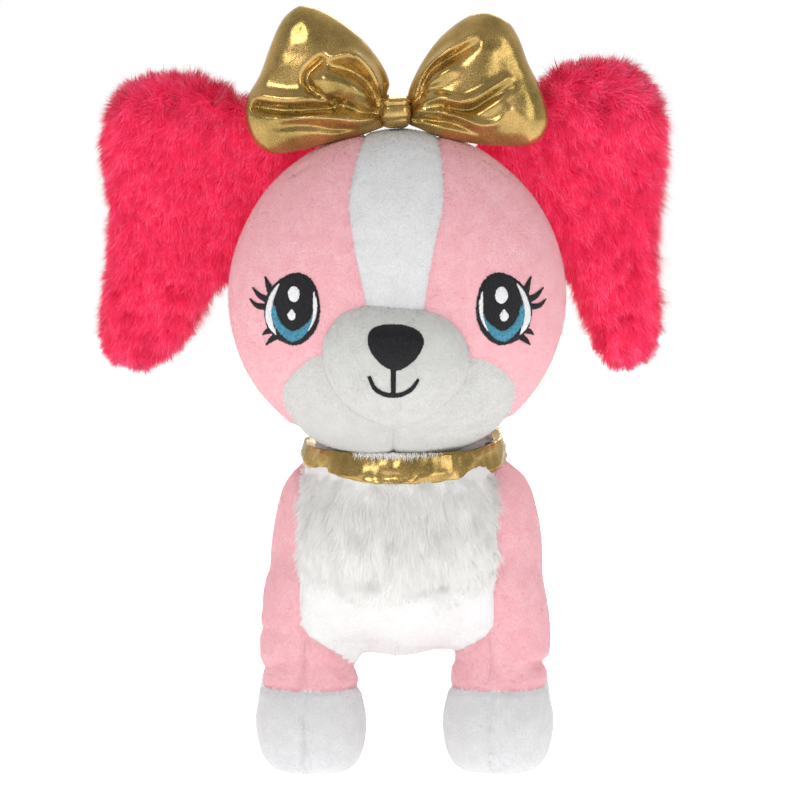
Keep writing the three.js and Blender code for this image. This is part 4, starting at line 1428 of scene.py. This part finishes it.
def inflate(points, faces, pinned):
    """The skin after a short cloth simulation under air pressure."""
    obj = make_object("cloth_run", points, faces, [])
    held = obj.vertex_groups.new(name="held")
    held.add([int(i) for i in np.flatnonzero(pinned)], 1.0, "REPLACE")
    cloth = obj.modifiers.new("cloth", "CLOTH")
    cloth.settings.use_pressure = True
    cloth.settings.uniform_pressure_force = 2.5
    cloth.settings.vertex_group_mass = "held"
    cloth.settings.effector_weights.gravity = 0
    cloth.settings.quality = 6
    cloth.settings.tension_stiffness = 12
    cloth.settings.shrink_min = -0.01
    cloth.collision_settings.use_collision = False
    cloth.point_cache.frame_start, cloth.point_cache.frame_end = 1, INFLATE_FRAMES
    for k in range(1, INFLATE_FRAMES + 1):
        bpy.context.scene.frame_set(k)
    solved = obj.evaluated_get(bpy.context.evaluated_depsgraph_get())
    out = np.empty(len(points) * 3)
    solved.data.vertices.foreach_get("co", out)
    bpy.data.objects.remove(obj)
    bpy.context.scene.frame_set(1)
    shift = out.reshape(-1, 3) / MM - points
    far = np.linalg.norm(shift, axis=1, keepdims=True)
    return points + shift * np.minimum(1, INFLATE_CAP / np.maximum(far, 1e-6))


def bow_loop(word):
    """A stuffed loop: inflated, folded from the front and half as much from behind, and pinched at the knot."""
    outline, centre, folds, gathers, seed = LOOPS[word]
    wide = spline(outline, 150)
    wide = wide + unit(wide - centre) * 1.6
    points, faces = pillow(wide, centre, BOW_Y, 13.5, 19, around=130, rings=34)
    points, faces = voxel_union([(points, faces)], 1.3)
    points = relax(points, faces, 2)
    near_knot = np.abs(seen_from_front(points)[:, 0]) < 11
    skin = Skin(relax(inflate(points, faces, near_knot), faces, 5), faces)
    points = skin.points()
    seen = seen_from_front(points)
    front = smoothstep(BOW_Y - points[:, 1], -2, 5)
    edge = smoothstep(inside_distance(spline(outline, 90), seen), 0, 5)
    shift = loop_relief(seen, folds, gathers, seed) * edge * (front + 0.5 * (1 - front))
    pull = smoothstep(24 - np.abs(seen[:, 0]), 0, 22)
    for v, d, p in zip(skin.bm.verts, shift, pull):
        v.co.y -= float(d) * (1 if v.co.y < BOW_Y else -1)
        v.co.y += (BOW_Y - v.co.y) * 0.45 * float(p)
        v.co.z += (KNOT_AT[2] - v.co.z) * 0.12 * float(p)
    return skin.whole()


def knot_shape():
    points, quads = cube_sphere(34)
    shaped = np.sign(points) * np.abs(points) ** [0.42, 0.8, 0.8] * [8.3, 13.5, 8.8]
    skin = Skin(KNOT_AT + shaped, quads)

    def fold(p):
        u, z = p[:, 0] - KNOT_AT[0], p[:, 2] - KNOT_AT[2]
        crease = z - 3.4 - 0.05 * u
        rolls = -1.0 * np.exp(-((crease / 0.9) ** 2)) + 0.7 * np.exp(-(((crease - 2) / 1.6) ** 2))
        return rolls - 0.7 * np.exp(-(((z + 5 - 0.15 * u) / 1.0) ** 2)) + 0.35 * lumps(p, 6, 12)

    skin.move(fold)
    return skin.whole()


def add_gold(node, points, faces, body):
    """A piece of gold lame in place of a node."""
    piece = make_object(f"{node}_lame", points, faces, [GOLD])
    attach(piece, body)
    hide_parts(node)


for word in SIDES:
    points, _, faces = bow_loop(word)
    add_gold(f"bow_loop_{word}", points, faces, "head")
points, _, faces = knot_shape()
add_gold("bow_knot", points, faces, "head")

COLLAR_THICK, COLLAR_HIGH = 1.7, 8.7  # half sizes of the tube's section
COLLAR_AT = AXIS + [0, 0, 173.6]
COLLAR_TILT = math.radians(7)


def collar_shape():
    """A soft tube of lame round the neck, with gathers along it."""
    around, section = 420, 22
    a = np.linspace(0, 2 * math.pi, around, endpoint=False)
    c = np.linspace(0, 2 * math.pi, section, endpoint=False)
    out = np.sign(np.cos(c)) * np.abs(np.cos(c)) ** 0.6 * COLLAR_THICK
    up = np.sign(np.sin(c)) * np.abs(np.sin(c)) ** 0.75 * COLLAR_HIGH
    ring = np.stack([np.cos(a), np.sin(a), 0 * a], 1)
    grid = np.empty((around, section, 3))
    for k in range(section):
        flow = np.column_stack([ring[:, :2] * 55, np.full(around, up[k] * 0.9)])
        gathers = 1.3 * lumps(flow * [0.22, 0.22, 1], 4.4, 14) + 0.5 * lumps(flow * [0.6, 0.6, 1], 3.0, 15)
        wave = lumps(flow * [1, 1, 0], 19, 16)
        wide = out[k] + 1.7 * gathers * (out[k] > -1)
        flat = ring * np.stack([50.4 - 0.36 * up[k] + wide, 48.8 - 0.4 * up[k] + wide, 0 * wide], 1)
        front = smoothstep(-ring[:, 1], -0.1, 1)
        flat[:, 2] = up[k] * (1.12 - 0.1 * front + 0.05 * wave) + 0.7 * wave + 2.0 - 5.0 * front
        grid[:, k] = flat
    x, y, z = grid.reshape(-1, 3).T
    sin, cos = math.sin(COLLAR_TILT), math.cos(COLLAR_TILT)
    points = clear_of_head(np.stack([x, y * cos - z * sin, y * sin + z * cos], 1) + COLLAR_AT, 0.2)
    i, j = np.meshgrid(range(around), range(section), indexing="ij")
    at = lambda i, j: (i % around) * section + j % section
    quads = np.stack([at(i, j), at(i + 1, j), at(i + 1, j + 1), at(i, j + 1)], -1).reshape(-1, 4)
    return points, quads


points, faces = collar_shape()
add_gold("collar", points, faces, "torso")


def caught_fluff(points, count):
    """Neck fur that the collar's upper edge has caught, brushed out over the front of it."""
    rng = np.random.default_rng(52)
    top = points[(points[:, 1] < AXIS[1] - 40) & (np.abs(points[:, 0] - HEAD_MIDDLE[0]) < 22)]
    high = top[top[:, 2] > np.quantile(top[:, 2], 0.7)]
    roots = high[rng.integers(0, len(high), count)] + rng.normal(size=(count, 3)) * [1.5, 0.3, 0.3]
    tuft = lumps(roots * [1, 0, 0], 5, 8)
    aim = unit(np.array([0, -1.0, 0.25]) + 0.2 * rng.normal(size=(count, 3)) + tuft[:, None] * [0.5, 0, 0.2])
    bend = np.array([0, 0.1, -0.75]) + 0.1 * rng.normal(size=(count, 3))
    long = 4.6 * (1 + 0.5 * tuft) * rng.uniform(0.6, 1.1, count)
    lit = unit(aim + [0, -1.0, 1.0])
    wide = np.full(count, 0.36)
    pick = lambda n, segments: np.repeat(rng.integers(0, 3, n), segments)
    return strands("collar_tuft", roots, lit, aim, long, wide, 3, bend, CHEST_FUR[2:], pick)


tuft = caught_fluff(points, 900)
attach(tuft, "torso")

# ---------- the parts inside, which keep their CAD shapes ----------


def inner(name, rgb, roughness, patches, relief, metallic=0.0, sheen=0.0, specular=0.5, uneven=None):
    """A procedural material for a part inside.

    patches is (noise, start, end, dark, light) of its colour, relief (noise, depth, strength) of its surface, uneven
    (noise, lowest, highest) of its roughness, where each noise is (size, detail) or (size, detail, stretch).
    """
    material = principled(name, linear(rgb), roughness, sheen, metallic, specular)
    n = Nodes(material)
    noise, start, end, dark, light = patches
    n.set_colour(n.ramp(n.noise(*noise), start, end, dark, light))
    n.set_relief(n.noise(*relief[0]), *relief[1:])
    if uneven:
        n.set_roughness(n.noise(*uneven[0]), *uneven[1:])
    return material


def moulded(name, rgb, roughness=0.5):
    """Moulded plastic: a faint texture from the mould and slightly uneven gloss."""
    dark = tuple(c * 0.88 for c in linear(rgb))
    uneven = ((2, 2), roughness - 0.08, roughness + 0.08)
    return inner(name, rgb, roughness, ((6, 3), 0.35, 0.65, dark, linear(rgb)), ((0.35, 2), 0.05, 0.5), uneven=uneven)


ALONG, TRACKS = (1, 1, 6), (3, 0.4, 1)  # how the noise is stretched: fine marks of machining, copper tracks
STEEL = (188, 188, 190)
STEEL_DARK = tuple(c * 0.75 for c in linear(STEEL))
INSIDE = {
    moulded("white_plastic", (226, 226, 224)): ["case_lower", "case_upper", "battery_door", "head_frame", "neck_gear"],
    moulded("acetal_plastic", (240, 238, 230), 0.4): ["neck_bush", "motor_pinion"],
    moulded("black_plastic", (38, 38, 42)): ["power_switch"],
    moulded("pink_plastic", (240, 120, 150), 0.4): ["press_button"],
    inner(
        "steel",
        STEEL,
        0.28,
        ((4, 3), 0.3, 0.7, STEEL_DARK, linear(STEEL)),
        ((0.4, 2, ALONG), 0.03, 0.4),
        metallic=1.0,
        uneven=((1.5, 2, ALONG), 0.28 - 0.1, 0.28 + 0.1),
    ): ["battery_door_screw", "neck_shaft", "head_pivot_pin", "motor"],
    moulded("battery_wrap", (40, 92, 120), 0.3): ["battery_1", "battery_2", "battery_3"],
    inner(
        "circuit_board_green",
        (20, 96, 58),
        0.35,
        ((1.6, 0, TRACKS), 0.5, 0.54, linear((16, 84, 50)), linear((40, 130, 80))),
        ((1.6, 0, TRACKS), 0.05, 0.4),
    ): ["circuit_board"],
    inner(
        "speaker_paper",
        (42, 42, 44),
        0.8,
        ((1.0, 4), 0.3, 0.7, linear((28, 28, 30)), linear((62, 62, 64))),
        ((0.6, 3), 0.1, 0.6),
    ): ["speaker"],
    inner(
        "polyester_filling",
        (236, 236, 238),
        1.0,
        ((5, 4), 0.3, 0.7, linear((205, 206, 210)), linear((246, 246, 247))),
        ((2.5, 4, (1, 1, 0.4)), 2.0, 0.8),
        sheen=0.5,
        specular=0.1,
    ): ["body_filling", "head_filling"],
}
for material, names in INSIDE.items():
    for name in names:
        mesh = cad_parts[name]
        if not mesh.material_slots:
            mesh.data.materials.append(material)
        for place in mesh.material_slots:
            place.material = material

# ---------- floor, light and camera, in metres ----------

FLOOR_HALF = 6000  # millimetres
FLOOR_GLOW = (0.62, 1.0)  # as a light it is no more than a lit table, in the picture it is white


def add_stage():
    paper = principled("floor_paper", (0.92, 0.92, 0.92), 0.9)
    tree = paper.node_tree
    shader = tree.nodes["Principled BSDF"]
    shader.inputs["Emission Color"].default_value = (1, 1, 1, 1)
    glow = tree.nodes.new("ShaderNodeMapRange")
    glow.inputs["To Min"].default_value, glow.inputs["To Max"].default_value = FLOOR_GLOW
    tree.links.new(tree.nodes.new("ShaderNodeLightPath").outputs["Is Camera Ray"], glow.inputs["Value"])
    tree.links.new(glow.outputs["Result"], shader.inputs["Emission Strength"])
    corners = [(x * FLOOR_HALF, y * FLOOR_HALF, 0) for x, y in ((-1, -1), (1, -1), (1, 1), (-1, 1))]
    make_object("floor", corners, [(0, 1, 2, 3)], [paper])


def add_world():
    """White to the camera. As a light it is bright behind the toy and dim on the camera's side, as in a studio tent."""
    world = bpy.data.worlds.new("studio")
    world.use_nodes = True
    tree = world.node_tree
    background = tree.nodes["Background"]
    background.inputs["Color"].default_value = (1, 1, 1, 1)
    split = tree.nodes.new("ShaderNodeSeparateXYZ")
    tree.links.new(tree.nodes.new("ShaderNodeTexCoord").outputs["Generated"], split.inputs["Vector"])
    light = tree.nodes.new("ShaderNodeMapRange")
    light.inputs["From Min"].default_value, light.inputs["From Max"].default_value = -0.6, 0.8
    light.inputs["To Min"].default_value, light.inputs["To Max"].default_value = 0.3, 0.9
    tree.links.new(split.outputs["Y"], light.inputs["Value"])
    seen = tree.nodes.new("ShaderNodeMix")
    seen.inputs["B"].default_value = 1.0
    tree.links.new(tree.nodes.new("ShaderNodeLightPath").outputs["Is Camera Ray"], seen.inputs["Factor"])
    tree.links.new(light.outputs["Result"], seen.inputs["A"])
    tree.links.new(seen.outputs["Result"], background.inputs["Strength"])
    bpy.context.scene.world = world


def add_light(name, place, size, power):
    """A round soft light that faces the toy."""
    data = bpy.data.lights.new(name, "AREA")
    data.shape = "DISK"
    data.size = size
    data.energy = power
    lamp = bpy.data.objects.new(name, data)
    lamp.location = place
    lamp.rotation_euler = (Vector((0, 0, 0.2)) - Vector(place)).to_track_quat("-Z", "Y").to_euler()
    bpy.context.scene.collection.objects.link(lamp)


CAMERA_TARGET = Vector((0.0081, -0.05, 0.197))
CAMERA_AWAY = 2.4
CAMERA_TILT = math.radians(3)


def add_camera():
    data = bpy.data.cameras.new("camera")
    data.lens = 205
    data.sensor_width = 36
    camera = bpy.data.objects.new("camera", data)
    camera.location = CAMERA_TARGET + CAMERA_AWAY * Vector((0, -math.cos(CAMERA_TILT), math.sin(CAMERA_TILT)))
    camera.rotation_euler = (CAMERA_TARGET - camera.location).to_track_quat("-Z", "Y").to_euler()
    bpy.context.scene.collection.objects.link(camera)
    bpy.context.scene.camera = camera


add_stage()
add_world()
add_light("key", (-0.9, -1.9, 1.3), 0.9, 14)
add_light("fill", (1.5, -1.6, 0.7), 1.0, 7)
add_light("back", (0.3, 1.6, 1.5), 1.2, 12)
add_camera()
bpy.context.scene.view_settings.view_transform = "Standard"
